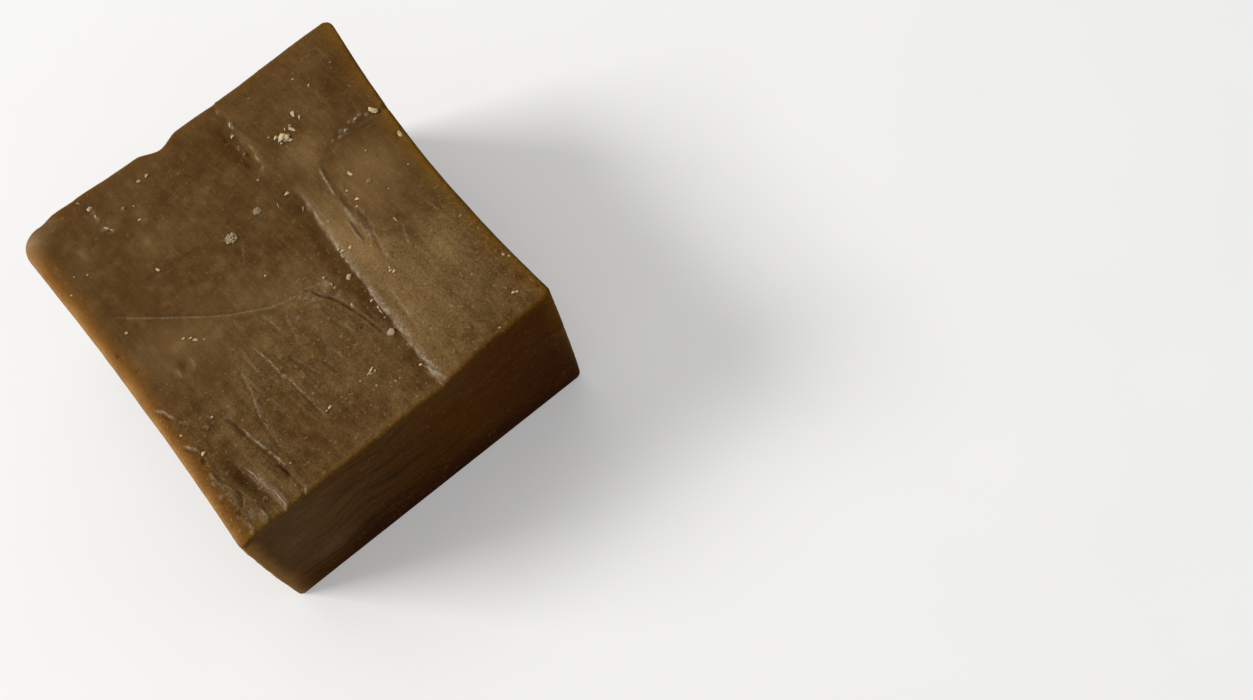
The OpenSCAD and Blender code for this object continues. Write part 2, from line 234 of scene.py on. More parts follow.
# How strong each form is along its line: [share along it, share of the full size]
LIP_STRENGTH = [[0, 0.4], [0.05, 1], [0.62, 0.9], [0.66, 0.05], [0.74, 0.05], [0.78, 0.4], [0.9, 0.35],
                [1, 0.1]]
TROUGH_STRENGTH = [[0, 0.3], [0.1, 1], [0.62, 1], [0.67, 0.2], [0.74, 0.2], [0.8, 1], [0.93, 0.9], [1, 0.3]]
CRACK_STRENGTH = [[0, 0], [0.08, 0.4], [0.14, 1], [0.36, 1], [0.42, 0.5], [0.44, 0]]
OUTER_FOLD_STRENGTH = [[0, 0.5], [0.05, 1], [0.1, 0.9], [0.2, 0.6], [0.3, 0.3], [0.4, 0]]
INNER_FOLD_STRENGTH = [[0, 0.5], [0.05, 1], [0.1, 1], [0.16, 0.6], [0.25, 0.9], [0.31, 0]]
WELT_STRENGTH = [[0.38, 0], [0.45, 0.7], [0.62, 1], [0.69, 0]]
DRAG_STRENGTH = [[0.77, 0], [0.83, 0.7], [0.98, 1]]
CREASE_STRENGTH = [[0.07, 0], [0.09, 0.3], [0.11, 0.7], [0.13, 1], [0.48, 1], [0.5, 0.5], [0.52, 0]]

# Thumb dents: [u, v, radius as a share of the length, share of the deepest]
DENTS = [[0.145, 0.445, 0.03, 0.7], [0.105, 0.443, 0.02, 0.5], [0.11, 0.327, 0.05, 0.6],
         [0.482, 0.363, 0.04, 0.6], [0.52, 0.718, 0.07, 0.6], [0.97, 0.827, 0.1, 1],
         [0.07, 0.886, 0.06, 0.7], [0.39, 0.052, 0.12, 0.5], [0.235, 0.61, 0.04, 0.3]]
WAVE_TURNS = [[1.3, 0.35], [0.4, -1.1]]
print("block, mm:", BLOCK_L, "x", BLOCK_D, "x", BLOCK_H, "and a slab", SLAB_NEAR_H + LIP_H, "higher")

# %% Height of the top
def mix(a, b, t):
    """The value a share t of the way from a to b."""
    return a + (b - a) * t


def ease(t):
    """A smooth step from 0 at t = 0 to 1 at t = 1."""
    held = np.clip(t, 0, 1)
    return held * held * (3 - 2 * held)


def hump(t):
    """A smooth hill: 1 at t = 0, and nothing beyond 1 on either side."""
    return ease(1 - np.abs(t))


def bow(t):
    """A shallow arch: 1 halfway, and nothing at both ends."""
    return 1 - (2 * t - 1) ** 2


def along(share, line):
    """The value of a line at a share, straight between its points and held beyond its ends."""
    stops = np.array(line, float)
    return np.interp(share, stops[:, 0], stops[:, 1])


def fold(s, width, depth, rise):
    """A hollow that deepens over its width and ends at a steep face, s millimetres past the face's foot."""
    return np.where(s < 0, -depth * ease(1 + s / width), -depth * (1 - ease(s / rise)))


def past(u, v, line):
    """How far to the right of a line a place lies, in millimetres."""
    return (u - along(v, line)) * BLOCK_L


def outer_hollow_w(v):
    """The outer fold's hollow narrows as the fold nears the left edge."""
    return OUTER_FOLD_W * along(v, OUTER_FOLD_LINE) / OUTER_FOLD_LINE[0][1]


def slab_z(u, v, ragged):
    """The slab with its lip and trough. The lip's edge is moved sideways by ragged."""
    s = past(u, v, RIDGE_LINE) + ragged
    torn = along(v, LIP_STRENGTH)
    slope_w = mix(SLAB_NEAR_SLOPE_W, SLAB_FAR_SLOPE_W, v * v)
    lip = ease((1 - v) * BLOCK_D / LIP_RUN_OUT) * mix(ease(0.5 + s / LIP_SOFT_W), ease(s / LIP_W), torn)
    trough = along(v, TROUGH_STRENGTH) * fold(s, TROUGH_W, TROUGH_D, LIP_W)
    return mix(SLAB_NEAR_H, SLAB_FAR_H, v) * ease(s / slope_w) + LIP_H * lip + trough


def marks_z(u, v):
    """The folds, the crease and crack, the welt, the drag groove, the dents and the slow waves."""
    outer_s, inner_s = past(u, v, OUTER_FOLD_LINE), past(u, v, INNER_FOLD_LINE)
    outer = along(v, OUTER_FOLD_STRENGTH) * fold(outer_s, outer_hollow_w(v), OUTER_FOLD_D, FOLD_RISE_W)
    inner = along(v, INNER_FOLD_STRENGTH) * fold(inner_s, INNER_FOLD_W, INNER_FOLD_D, FOLD_RISE_W)
    crease = CREASE_H * along(u, CREASE_STRENGTH) * hump(2 * (v - along(u, CREASE_LINE)) * BLOCK_D / CREASE_W)
    crack = CRACK_D * along(v, CRACK_STRENGTH) * hump(2 * past(u, v, CRACK_LINE) / CRACK_W)
    welt = WELT_H * along(v, WELT_STRENGTH) * hump(2 * past(u, v, WELT_LINE) / WELT_W)
    drag = DRAG_D * along(u, DRAG_STRENGTH) * hump(2 * (v - along(u, DRAG_LINE)) * BLOCK_D / DRAG_W)
    dents = sum(share * hump(np.hypot((u - du) * BLOCK_L, (v - dv) * BLOCK_D) / (r * BLOCK_L))
                for du, dv, r, share in DENTS)
    waves = sum(np.sin(2 * np.pi * (a * u + b * v)) for a, b in WAVE_TURNS)
    return outer + inner + crease - crack + welt - drag - DENT_D * dents + WAVE_H * waves


def shoulder_z(u, v):
    """The soft shoulder along the left edge and round the far left corner."""
    from_left, from_far = u * BLOCK_L, (1 - v) * BLOCK_D
    round_corner = ease(2 - from_left / FAR_LEFT_R)
    t = np.clip(np.maximum(1 - from_left / SHOULDER_W, (1 - from_far / SHOULDER_W) * round_corner), 0, 1)
    return -SHOULDER_DROP * t * t


def top_z(u, v, ragged=0.0):
    return BLOCK_H + slab_z(u, v, ragged) + marks_z(u, v) + shoulder_z(u, v)


print("top at its middle, mm:", round(float(top_z(0.5, 0.5)), 2))

# %% [markdown]
# ## Plan and lean
#
# Seen from above, the block is a rectangle with four corners of different radii. A corner of the square
# grid is pushed onto its arc, which keeps the grid whole. Then each side leans, draws in or swells as it
# rises.

# %% Plan and lean
# Keeps a division from failing where a point lies on an arc's centre
TINY = 1e-9


def plan(u, v, inset):
    """Places on a level plan of the block, drawn in by inset."""
    half = np.array([BLOCK_L / 2 - inset, BLOCK_D / 2 - inset])
    flat = np.stack([(2 * u - 1) * half[0], (2 * v - 1) * half[1]], -1)
    near, left = v < 0.5, u < 0.5
    corner_r = np.where(near, np.where(left, NEAR_LEFT_R, NEAR_RIGHT_R),
                        np.where(left, FAR_LEFT_R, FAR_RIGHT_R))
    r = np.maximum(corner_r - inset, LEAST_CORNER_R)[..., None]
    q = np.abs(flat) - half + r
    in_corner = q.min(-1, keepdims=True) > 0
    reach = np.maximum(np.linalg.norm(q, axis=-1, keepdims=True), TINY)
    turned = q * q.max(-1, keepdims=True) / reach
    return np.where(in_corner, np.sign(flat) * (half - r + turned), flat)


def leaned(flat, u, v, z):
    """Points at a height, with the lean, the draw and the belly of each side."""
    up = z / BLOCK_H
    belly = bow(np.clip(up, 0, 1))
    left_in = (LEFT_LEAN + LEFT_DRAW * bow(v)) * (1 - u) * up - LEFT_BELLY * (1 - u) * belly
    right_lean = mix(RIGHT_NEAR_LEAN, -RIGHT_FAR_LEAN_OUT, v) + RIGHT_DRAW * bow(v)
    right_in = right_lean * u * up - RIGHT_BELLY * u * belly
    front_in = mix(FRONT_LEFT_LEAN, FRONT_RIGHT_LEAN, u) * (1 - v) * up
    far_in = (FAR_LEAN + FAR_DRAW * bow(u)) * v * up
    nick_in = (NICK_D * hump(2 * (u - NICK_U) * BLOCK_L / NICK_W) * ease((v - 1 + FAR_REACH) / FAR_REACH)
               * ease((z - BLOCK_H + NICK_H) / NICK_H))
    return np.stack([flat[..., 0] + left_in - right_in, flat[..., 1] + front_in - far_in - nick_in,
                     np.broadcast_to(z, u.shape)], -1)


corner = np.zeros(1)
corner_point = leaned(plan(corner, corner, 0), corner, corner, BLOCK_H + corner)[0]
print("near left corner of the top, mm:", [round(float(c), 2) for c in corner_point])

# %% [markdown]
# ## A grid that follows the marks
#
# An even grid would draw the torn lip and the crack as a saw edge. Here some columns run along the folds,
# the crack, the lip and the welt, and some rows along the crease and the drag groove, with short steps
# beside them. Columns bend with the depth and rows with the length, so each place is found in a few rounds.

# %% The bent grid
# Cells between neighbouring lines: columns from the left side on, rows from the front face on
COLUMN_COUNTS = [18, 15, 4, 9, 7, 4, 98, 4, 4, 22, 5, 24, 4, 4, 56]
ROW_COUNTS = [96, 4, 4, 40, 4, 4, 36, 10]


def column_stops(v):
    """The shares along the length that the main columns keep to, at each depth."""
    outer, inner, crack = (along(v, line) for line in (OUTER_FOLD_LINE, INNER_FOLD_LINE, CRACK_LINE))
    ridge, welt = along(v, RIDGE_LINE), along(v, WELT_LINE)
    rise, half_crack, half_welt = FOLD_RISE_W / BLOCK_L, CRACK_W / 2 / BLOCK_L, WELT_W / 2 / BLOCK_L
    return np.stack([0 * v, outer - outer_hollow_w(v) / BLOCK_L, outer, outer + rise,
                     inner - INNER_FOLD_W / BLOCK_L, inner, inner + rise, crack - half_crack, crack,
                     crack + half_crack, ridge, ridge + LIP_W / BLOCK_L, welt - half_welt, welt,
                     welt + half_welt, 1 + 0 * v], -1)


def row_stops(u):
    """The shares along the depth that the main rows keep to, at each length."""
    crease, drag = along(u, CREASE_LINE), along(u, DRAG_LINE)
    half_crease, half_drag = CREASE_W / 2 / BLOCK_D, DRAG_W / 2 / BLOCK_D
    return np.stack([0 * u, crease - half_crease, crease, crease + half_crease, drag - half_drag, drag,
                     drag + half_drag, 1 - FAR_LEFT_R / BLOCK_D + 0 * u, 1 + 0 * u], -1)


def steps(counts):
    """The stop before each grid line, and how far the line lies on towards the next one."""
    pairs = [(0, 0.0)] + [(i, k / count) for i, count in enumerate(counts) for k in range(1, count + 1)]
    return np.array([p[0] for p in pairs]), np.array([p[1] for p in pairs])


def at_steps(stops, which, share):
    """Places between one stop and the next, at a share of the gap."""
    rows = np.arange(len(stops))
    return mix(stops[rows, which], stops[rows, which + 1], share)


column_stop, column_share = steps(COLUMN_COUNTS)
row_stop, row_share = steps(ROW_COUNTS)
cols, rows = len(column_stop) - 1, len(row_stop) - 1
grid_rows, grid_cols = (a.ravel() for a in np.indices((rows + 1, cols + 1)))
u, v = np.full(len(grid_rows), 0.5), np.full(len(grid_rows), 0.5)
ROUNDS = 5
for _ in range(ROUNDS):
    u = at_steps(column_stops(v), column_stop[grid_cols], column_share[grid_cols])
    v = at_steps(row_stops(u), row_stop[grid_rows], row_share[grid_rows])
print("grid:", cols, "by", rows, "cells")

# %% [markdown]
# ## Places as the camera sees them
#
# The small marks were read off the top as the lens sees it, on one level plane: x to the right along the
# front face and y away from it, in millimetres. A point on higher ground lies under another spot of that
# plane, so every point of the mesh is projected onto it from the lens. Each mark can then be placed by the
# plain numbers read.

# %% Seen places
SEEN_PLANE_Z = 43.1
SEEN_SHIFT_X = 0.3


def seen(points):
    """Where points, in millimetres, appear on the level plane as seen from the lens."""
    lens = np.array(LENS_AT) / MM
    k = (lens[2] - SEEN_PLANE_Z) / (lens[2] - points[:, 2])
    return (lens[0] + (points[:, 0] - lens[0]) * k - SEEN_SHIFT_X, lens[1] + (points[:, 1] - lens[1]) * k)


# Large odd factors and shifts that scramble a place into a value that looks random, and the bits kept of it
PLACE_FACTORS, SEED_FACTOR = (73856093, 19349663, 83492791), 26544357
SCRAMBLES = [(13, 1274126177), (15, 374761393)]
KEPT_BITS = 0x7FFFFFFF


def lumps(points, size, seed):
    """Smooth noise between -1 and 1 whose lumps measure about size, in the points' own unit."""
    cell = np.asarray(points, float) / size
    low = np.floor(cell).astype(np.int64)
    blend = ease(cell - low)
    total = np.zeros(len(cell))
    for corner in np.ndindex(2, 2, 2):
        at = (low + corner) * PLACE_FACTORS
        mixed = at[:, 0] ^ at[:, 1] ^ at[:, 2] ^ (seed * SEED_FACTOR)
        for shift, factor in SCRAMBLES:
            mixed = ((mixed ^ (mixed >> shift)) * factor) & KEPT_BITS
        weight = np.prod(np.where(corner, blend, 1 - blend), axis=1)
        total += (mixed / (KEPT_BITS // 2) - 1) * weight
    return total


def rough(points, size, seed):
    """Three layers of lumps, each half as large and half as high as the last."""
    layers = [(1, 0.57), (0.5, 0.29), (0.25, 0.14)]
    return sum(share * lumps(points, size * part, seed + i) for i, (part, share) in enumerate(layers))


def flat_points(x, y):
    """Points on the level plane, as rows of three numbers."""
    return np.stack([x, y, 0 * x], -1)


z = top_z(u, v)
x_seen, y_seen = seen(leaned(plan(u, v, TOP_EDGE_R), u, v, z))
on_plane = flat_points(x_seen, y_seen)
print("the top as seen spans, mm:", round(np.ptp(x_seen), 1), "by", round(np.ptp(y_seen), 1))

# %% [markdown]
# ## Marks of the top
#
# A real bar is never smooth: the lip is ragged, the crack has a sharp dark bottom, a scratch has pushed-up
# sides, and the corner where the soap tore is lumpy. This could be sculpted by hand. But a mark is a line
# with a width and a height, so one helper draws them all: it moves the mesh points near the line up or
# down, and notes where the soap is pale or dark, which the material reads later. The pale is partly chalk
# and partly a painted highlight on raised edges, and the dark is mostly painted shade in cracks, hollows
# and pits.

# %% Lines and spots
def from_line(line):
    """Distance of each top point from a line, + on the side of larger x, and the share along the line."""
    points = np.array(line, float)
    lengths = np.linalg.norm(np.diff(points, axis=0), axis=1)
    starts = np.concatenate([[0], np.cumsum(lengths)])
    facing = 1 if points[-1, 1] > points[0, 1] else -1
    best, side, share = np.full(len(x_seen), np.inf), np.ones(len(x_seen)), np.zeros(len(x_seen))
    for i, length in enumerate(lengths):
        way = (points[i + 1] - points[i]) / length
        dx, dy = x_seen - points[i][0], y_seen - points[i][1]
        t = np.clip(dx * way[0] + dy * way[1], 0, length)
        gap = np.hypot(dx - t * way[0], dy - t * way[1])
        nearer = gap < best
        best = np.where(nearer, gap, best)
        side = np.where(nearer, facing * np.sign(dx * way[1] - dy * way[0]), side)
        share = np.where(nearer, (starts[i] + t) / starts[-1], share)
    return best * side, share


def spot(x, y, across, deep=None):
    """A soft round or oval spot: one in its middle, nothing at its rim."""
    return hump(np.hypot((x_seen - x) / (across / 2), (y_seen - y) / ((deep or across) / 2)))


# Pale bands are chalk and painted highlights, and dark bands are mostly painted shade
def draw(line, bands, fade=(0.15, 0.15), wander=0.0, broken=0.0):
    """Draws bands beside a line: offset, half width and rise in mm, then the pale and the dark share."""
    off, share = from_line(line)
    off = off + wander * lumps(on_plane, 0.9, 100 + len(drawn))
    on = ease(share / fade[0]) * ease((1 - share) / fade[1])
    whole = np.clip(1 - broken * (0.6 + 1.4 * rough(on_plane, 1.2, 200 + len(drawn))), 0, 1)
    for offset, half_width, rise, pale_share, dark_share in bands:
        band = on * hump((off - offset) / half_width)
        relief[:] += rise * band
        pale[:] = np.maximum(pale, pale_share * band * whole)
        painted_shade_and_dark[:] = np.maximum(painted_shade_and_dark, dark_share * band)
    drawn.append(line)
    return on


# Pale spots are chalk and painted highlights, and dark spots are mostly painted shade
def dab(spots):
    """Sets soft spots: x, y, width, depth and rise in mm, then the pale and the dark share."""
    for x, y, across, deep_across, rise, pale_share, dark_share in spots:
        at = spot(x, y, across, deep_across)
        relief[:] += rise * at
        pale[:] = np.maximum(pale, pale_share * at)
        painted_shade_and_dark[:] = np.maximum(painted_shade_and_dark, dark_share * at)


ragged = 0.25 * rough(on_plane, 1.6, 3) + 0.12 * lumps(on_plane, 0.5, 4)
relief = top_z(u, v, ragged) - z
pale, painted_shade_and_dark = np.zeros(len(u)), np.zeros(len(u))
drawn = []
print("the lip's ragged edge wanders by, mm:", round(float(np.ptp(ragged)), 2))

# %% The crack and the crease
# The crack is wide at its start, and closes where it meets the lip. Its bottom is darkened with painted
# shade, and its raised edges are pale with painted highlights
crack_on = draw([(-0.2, -5.7), (1, -6.5), (1.4, -8.1), (2.5, -9.4), (3.5, -11.1), (4.2, -13.1), (4.9, -15.7),
                 (5.5, -18.4), (6.4, -21.2), (7, -24)],
                [(0, 0.34, -0.16, 0, 0.35), (0.5, 0.4, 0.1, 0.25, 0), (-0.5, 0.4, 0.06, 0.15, 0),
                 (0.2, 1, 0, 0, 0.15)],
                fade=(0.05, 0.6), wander=0.25, broken=0.7)
# The solid's own wide crack is filled again, and only part of it is kept along this finer one
crack_band = hump(2 * past(u, v, CRACK_LINE) / CRACK_W)
relief += mix(1.0, 0.65, crack_on) * CRACK_D * along(v, CRACK_STRENGTH) * crack_band
# Its torn start: a lumpy patch darkened with painted shade, with specks of chalk, and pale lumps on the
# near side that carry painted highlights
dab([(2, -5.9, 4, 1.8, 0.15, 0, 0.3), (3.5, -8, 1.8, 4.6, 0.2, 0, 0.35), (4.1, -6, 0.8, 0.7, 0.2, 0.8, 0),
     (4.3, -7.6, 0.7, 1, 0.2, 0.8, 0), (4.5, -8.6, 0.6, 0.8, 0.1, 0.7, 0),
     (4.2, -10.2, 0.6, 0.8, 0.1, 0.6, 0), (3.8, -7.2, 1.8, 2.6, 0.1, 0.45, 0),
     (2.6, -6.2, 1.6, 1.2, 0.1, 0.35, 0), (2.7, -8, 0.6, 0.6, 0.1, 0.6, 0),
     (-1.2, -6.2, 1.4, 1, 0.15, 0.4, 0), (-0.5, -7, 1.2, 1, 0.15, 0.45, 0),
     (0.4, -8.2, 1, 1.2, 0.15, 0.4, 0), (0.3, -9.6, 0.9, 1.4, 0.1, 0.3, 0),
     (-3.8, -9.1, 1.6, 1.2, 0.12, 0.2, 0), (-1.9, -10, 2.6, 2.6, -0.14, 0, 0.25),
     (-9, -14.3, 2, 2, -0.1, 0, 0.2)])
# The crease that carries the crack on is pinched to a hairline, with a painted highlight on it and
# painted shade beside it
draw([(-29.9, 13.1), (-24.1, 8.2), (-19.2, 4.2), (-15.3, 1.1), (-12.6, -0.8), (-8.9, -2.9), (-6.3, -4.3),
      (-3.4, -5.2), (-0.2, -5.7)],
     [(0, 1, -0.24, 0, 0), (0, 0.22, 0.08, 0.3, 0), (0.45, 0.35, -0.05, 0, 0.2)], fade=(0.2, 0.03),
     wander=0.05, broken=0.4)
print("deepest cut so far, mm:", round(float(relief.min()), 2))

# %% [markdown]
# ## The torn lip
#
# The slab's edge tore when the soap was cut. So it is ragged, white chalky bits hang on it where the torn
# soap dried, and its foot lies in shade. The form of the step is in the solid already. This cell only
# roughens it along the ridge line, and paints the chalk together with a highlight on the lit edge, and the
# shade of its foot, by the distance from that line.

# %% The lip
# The edge is torn and chalky in some stretches, and its pale line is partly a painted highlight: [share
# along it, strength]
LIP_CHALK_AND_HIGHLIGHT = [[0, 0.5], [0.03, 0.9], [0.2, 1], [0.3, 0.8], [0.4, 1], [0.5, 0.8], [0.56, 0.6], [0.62, 0.45],
             [0.66, 0], [1, 0]]
ridge_off = past(u, v, RIDGE_LINE) + ragged
lip_on = along(v, LIP_STRENGTH)
torn = np.clip(0.65 + 0.9 * rough(on_plane, 2.2, 8) + 0.9 * lumps(on_plane, 0.6, 15), 0, 1)
far_part = ease((v - 0.74) / 0.04)
relief += (0.04 + 0.25 * far_part) * hump((ridge_off - 0.3) / 0.9) * rough(on_plane, 1.3, 7)
pale = np.maximum(pale, along(v, LIP_CHALK_AND_HIGHLIGHT) * hump((ridge_off - 0.3) / 0.4) * torn)
pale = np.maximum(pale, 0.42 * along(v, LIP_CHALK_AND_HIGHLIGHT) * hump((ridge_off - 0.6) / 1.1) * (0.4 + 0.6 * torn))
# The dark foot of the lip, painted shade
foot_torn = np.clip(0.6 + 0.7 * rough(on_plane, 2.2, 10), 0, 1)
painted_shade_and_dark = np.maximum(painted_shade_and_dark, 0.5 * lip_on * hump((ridge_off + 0.2) / 0.35) * foot_torn)
# Thin streaks run up the torn flake at its near end
streaked = np.clip(1.5 * spot(8.6, -31, 3, 10), 0, 1)
streak = lumps(np.stack([x_seen * 2.6 + y_seen * 1.1, y_seen * 0.5, 0 * x_seen], -1), 1, 9)
relief += 0.09 * streaked * streak
pale = np.maximum(pale, 0.75 * streaked * np.clip(0.2 + 0.9 * streak, 0, 1))
# Its far part is lumpy: pale specks on the edge, which are chalk and painted highlights, and a hollow
# before it, darkened with painted shade
dab([(8.3, 33.6, 0.8, 1.6, 0.2, 0.5, 0), (8.5, 29.6, 0.9, 2.2, 0.3, 0.8, 0),
     (7.5, 27.9, 0.9, 1.2, 0.2, 0.7, 0), (7, 25, 0.8, 1, 0.15, 0.6, 0), (7, 23.1, 0.8, 0.8, 0.2, 0.7, 0),
     (8.8, 23.8, 0.7, 1.8, 0.12, 0.5, 0), (8.4, 21, 0.6, 2.4, 0.1, 0.45, 0), (8, 18.7, 0.6, 1, 0.1, 0.4, 0),
     (6.5, 20.8, 1.6, 4.6, -0.2, 0, 0.5)])
draw([(5.9, 31.2), (6.2, 27.7), (6.5, 24.2), (6.9, 22.5)], [(0, 0.5, -0.15, 0, 0.4)], fade=(0.2, 0.2),
     wander=0.2)
print("chalky share of the top:", round(float((pale > 0.4).mean()), 3))

# %% [markdown]
# ## Welts on the slab
#
# A blade that is pushed through soft soap raises thin welts, and drags lumps along in a groove. Each welt
# is again a line with bands beside it. The lumps are soft spots, placed one by one because they don't
# repeat. Welts and lumps carry painted highlights, and their feet and the groove carry painted shade.

# %% The slab
# A thin welt with a painted highlight, then a lumpy one with a split in it, and the ragged foot on their
# right, darkened with painted shade
draw([(15.7, 12.5), (15.6, 11.5), (15.4, 9.3), (15, 7), (15, 5.4)],
     [(0, 0.34, 0.16, 0.55, 0), (0.9, 0.7, -0.1, 0, 0.25)], fade=(0.15, 0.2), wander=0.1, broken=0.4)
relief -= 0.5 * WELT_H * along(v, WELT_STRENGTH) * hump(2 * past(u, v, WELT_LINE) / WELT_W)
draw([(14.9, 5), (14.7, 1.6), (14.8, -0.1), (15, -2.8), (14.2, -4.9)], [(0, 0.5, 0.2, 0.4, 0)],
     fade=(0.1, 0.2), wander=0.25, broken=0.9)
draw([(13.9, 0.8), (14, -1.5), (13.9, -3.1), (13.8, -5)],
     [(0, 0.32, -0.22, 0, 0.5), (-0.6, 0.35, 0.15, 0.45, 0)], fade=(0.25, 0.2), wander=0.15, broken=0.5)
dab([(14.7, 0.5, 1.8, 6, 0.05, 0.3, 0), (15.2, -3.6, 2, 5, 0.05, 0.3, 0), (15.6, -8, 1.8, 4, 0.05, 0.2, 0),
     (15.2, -9.6, 1.4, 1.4, 0.1, 0.3, 0), (16.8, -7.4, 1.2, 1.6, 0.05, 0.2, 0)])
draw([(16.5, 8), (16.3, 6.9), (15.7, 4.8), (16.2, -1.2), (15.9, -3.1), (15.4, -4.7), (14.9, -7.3), (14.5, -9),
      (14.1, -11)], [(0, 0.5, -0.12, 0, 0.4), (0.6, 0.35, 0.06, 0.2, 0)], fade=(0.15, 0.2), wander=0.35,
     broken=0.8)
draw([(15.7, -0.1), (17.1, -1.8), (19.3, -3.6), (22, -5.4), (24.8, -6.5), (27.5, -8.8)],
     [(0, 0.28, -0.05, 0, 0.22)])
draw([(20.6, -5.5), (19.3, -9), (18.8, -11.4)], [(0, 0.5, -0.08, 0, 0.2), (0.5, 0.4, 0.04, 0.15, 0)],
     fade=(0.3, 0.3))
# The drag groove's right half is rough, with soap lumps pushed up behind it. The groove and a few pits
# are darkened with painted shade, and the pale lumps carry painted highlights
draw([(21.2, 15), (23.1, 13.9), (26.4, 14.1), (28.9, 13.8), (31.5, 13.6)], [(0, 0.6, -0.1, 0, 0.45)],
     fade=(0.2, 0.2), wander=0.3)
dab([(22.4, 14.8, 1.6, 1.2, 0.25, 0.4, 0), (24, 15.1, 2, 1.5, 0.35, 0.5, 0),
     (23.2, 15.8, 1.4, 1, 0.15, 0.3, 0), (26.6, 15.8, 2.2, 1.4, 0.3, 0.5, 0),
     (27.8, 16.3, 1.4, 1.1, 0.2, 0.4, 0), (25.4, 16.2, 1.3, 0.9, 0.15, 0.3, 0),
     (28.9, 15.5, 1.6, 1.2, 0.2, 0.4, 0), (21, 15, 1, 1, 0.1, 0.25, 0), (25.5, 7.6, 0.8, 0.8, -0.25, 0, 0.6),
     (18, 15.2, 0.8, 0.7, -0.2, 0, 0.5), (19.1, 12.4, 0.7, 0.7, -0.2, 0, 0.5),
     (26.9, -12.6, 0.7, 0.7, -0.2, 0, 0.5)])
drag_rough = ease((x_seen - 18) / 5) * hump((y_seen - 15) / 2.4)
relief += 0.25 * drag_rough * rough(on_plane, 1.2, 12)
print("lines drawn so far:", len(drawn))

# %% [markdown]
# ## Folds at the near left corner
#
# Here the soft skin was pushed into two folds and then tore. Real folds overhang a little, and a mesh of
# heights can't. But a steep bright face beside a dark hollow looks the same from above, and it keeps the
# mesh simple and closed. The face's brightness is partly a painted highlight and the hollow's darkness
# partly painted shade, on top of the shading of the relief itself.

# %% The near left corner
# The solid's two folds are softened first, because much of what shows there is finer
outer_s, inner_s = past(u, v, OUTER_FOLD_LINE), past(u, v, INNER_FOLD_LINE)
outer_fold = along(v, OUTER_FOLD_STRENGTH) * fold(outer_s, outer_hollow_w(v), OUTER_FOLD_D, FOLD_RISE_W)
inner_fold = along(v, INNER_FOLD_STRENGTH) * fold(inner_s, INNER_FOLD_W, INNER_FOLD_D, FOLD_RISE_W)
relief -= mix(0.15, 0.9, ease((v - 0.1) / 0.12)) * outer_fold + 0.5 * inner_fold
draw([(-28, -21), (-27.2, -26.8), (-26.5, -30.3), (-25.4, -33.4)], [(0, 1.6, -0.15, 0, 0.55)],
     fade=(0.3, 0.12))
draw([(-26, -23), (-25.2, -28), (-24.7, -31.5), (-24.3, -35.2)], [(0.3, 1.1, 0.05, 0.32, 0)],
     fade=(0.5, 0.04), wander=0.15, broken=0.8)
# The outer fold's steep face is striated, with a painted highlight that is brightest near its end
draw([(-26.5, -21.5), (-26, -24.7), (-25.4, -27.1), (-25.2, -28.5), (-24.9, -30.4), (-24.3, -32.1),
      (-24.2, -33.4), (-24.1, -35.3)],
     [(-0.5, 0.3, 0.03, 0.3, 0), (0, 0.24, 0.08, 0.75, 0), (0.5, 0.22, 0.05, 0.3, 0)], fade=(0.5, 0.04),
     wander=0.06, broken=0.6)
# The inner fold is torn in its far part and cracked in its near part. A pale line of torn soap with a
# painted highlight runs along its edge, and painted shade lies in the hollow beside it and in the cracks
draw([(-24, -15.8), (-22.8, -16.6), (-22.4, -18.5), (-22.1, -20.9), (-21.6, -23.2), (-21.1, -25.7),
      (-20.5, -27.8), (-20.3, -31.1), (-20, -34.3), (-20.2, -35.4)],
     [(0, 0.27, 0.05, 0.95, 0), (-0.5, 0.4, -0.1, 0, 0.4)], fade=(0.06, 0.04), wander=0.12, broken=1.2)
draw([(-21.4, -28.2), (-20.9, -29.6), (-20.7, -31.6)], [(0, 0.36, -0.4, 0, 0.95)], fade=(0.2, 0.2),
     wander=0.1)
dab([(-23.2, -17.1, 1, 1.8, -0.1, 0, 0.5), (-22.5, -20.8, 0.8, 1.2, -0.1, 0, 0.5),
     (-21.8, -23.4, 0.8, 1, -0.1, 0, 0.5), (-21, -32.1, 1, 0.8, 0.2, 0.4, 0),
     (-21, -33.1, 0.9, 0.8, 0.2, 0.4, 0), (-21.8, -32.8, 0.8, 0.7, 0.15, 0.3, 0),
     (-22.1, -20.9, 0.7, 0.9, 0.1, 0.9, 0), (-21.6, -23.2, 0.6, 0.8, 0.1, 0.9, 0)])
# Short folds run in from the left edge, each with a painted highlight on its crest and painted shade
# beside it
for line, share in (([(-32.2, -6.8), (-31, -8.3), (-30, -11)], 0.8), ([(-29.9, -11.6), (-28.7, -12.8)], 0.7),
                    ([(-31.8, -15.4), (-30.6, -17.1), (-29.9, -17.9)], 1)):
    draw(line, [(0, 0.4, 0.16 * share, 0.6 * share, 0), (-0.5, 0.45, -0.2 * share, 0, 0.6 * share)],
         fade=(0.3, 0.3), wander=0.1)
print("lines drawn so far:", len(drawn))

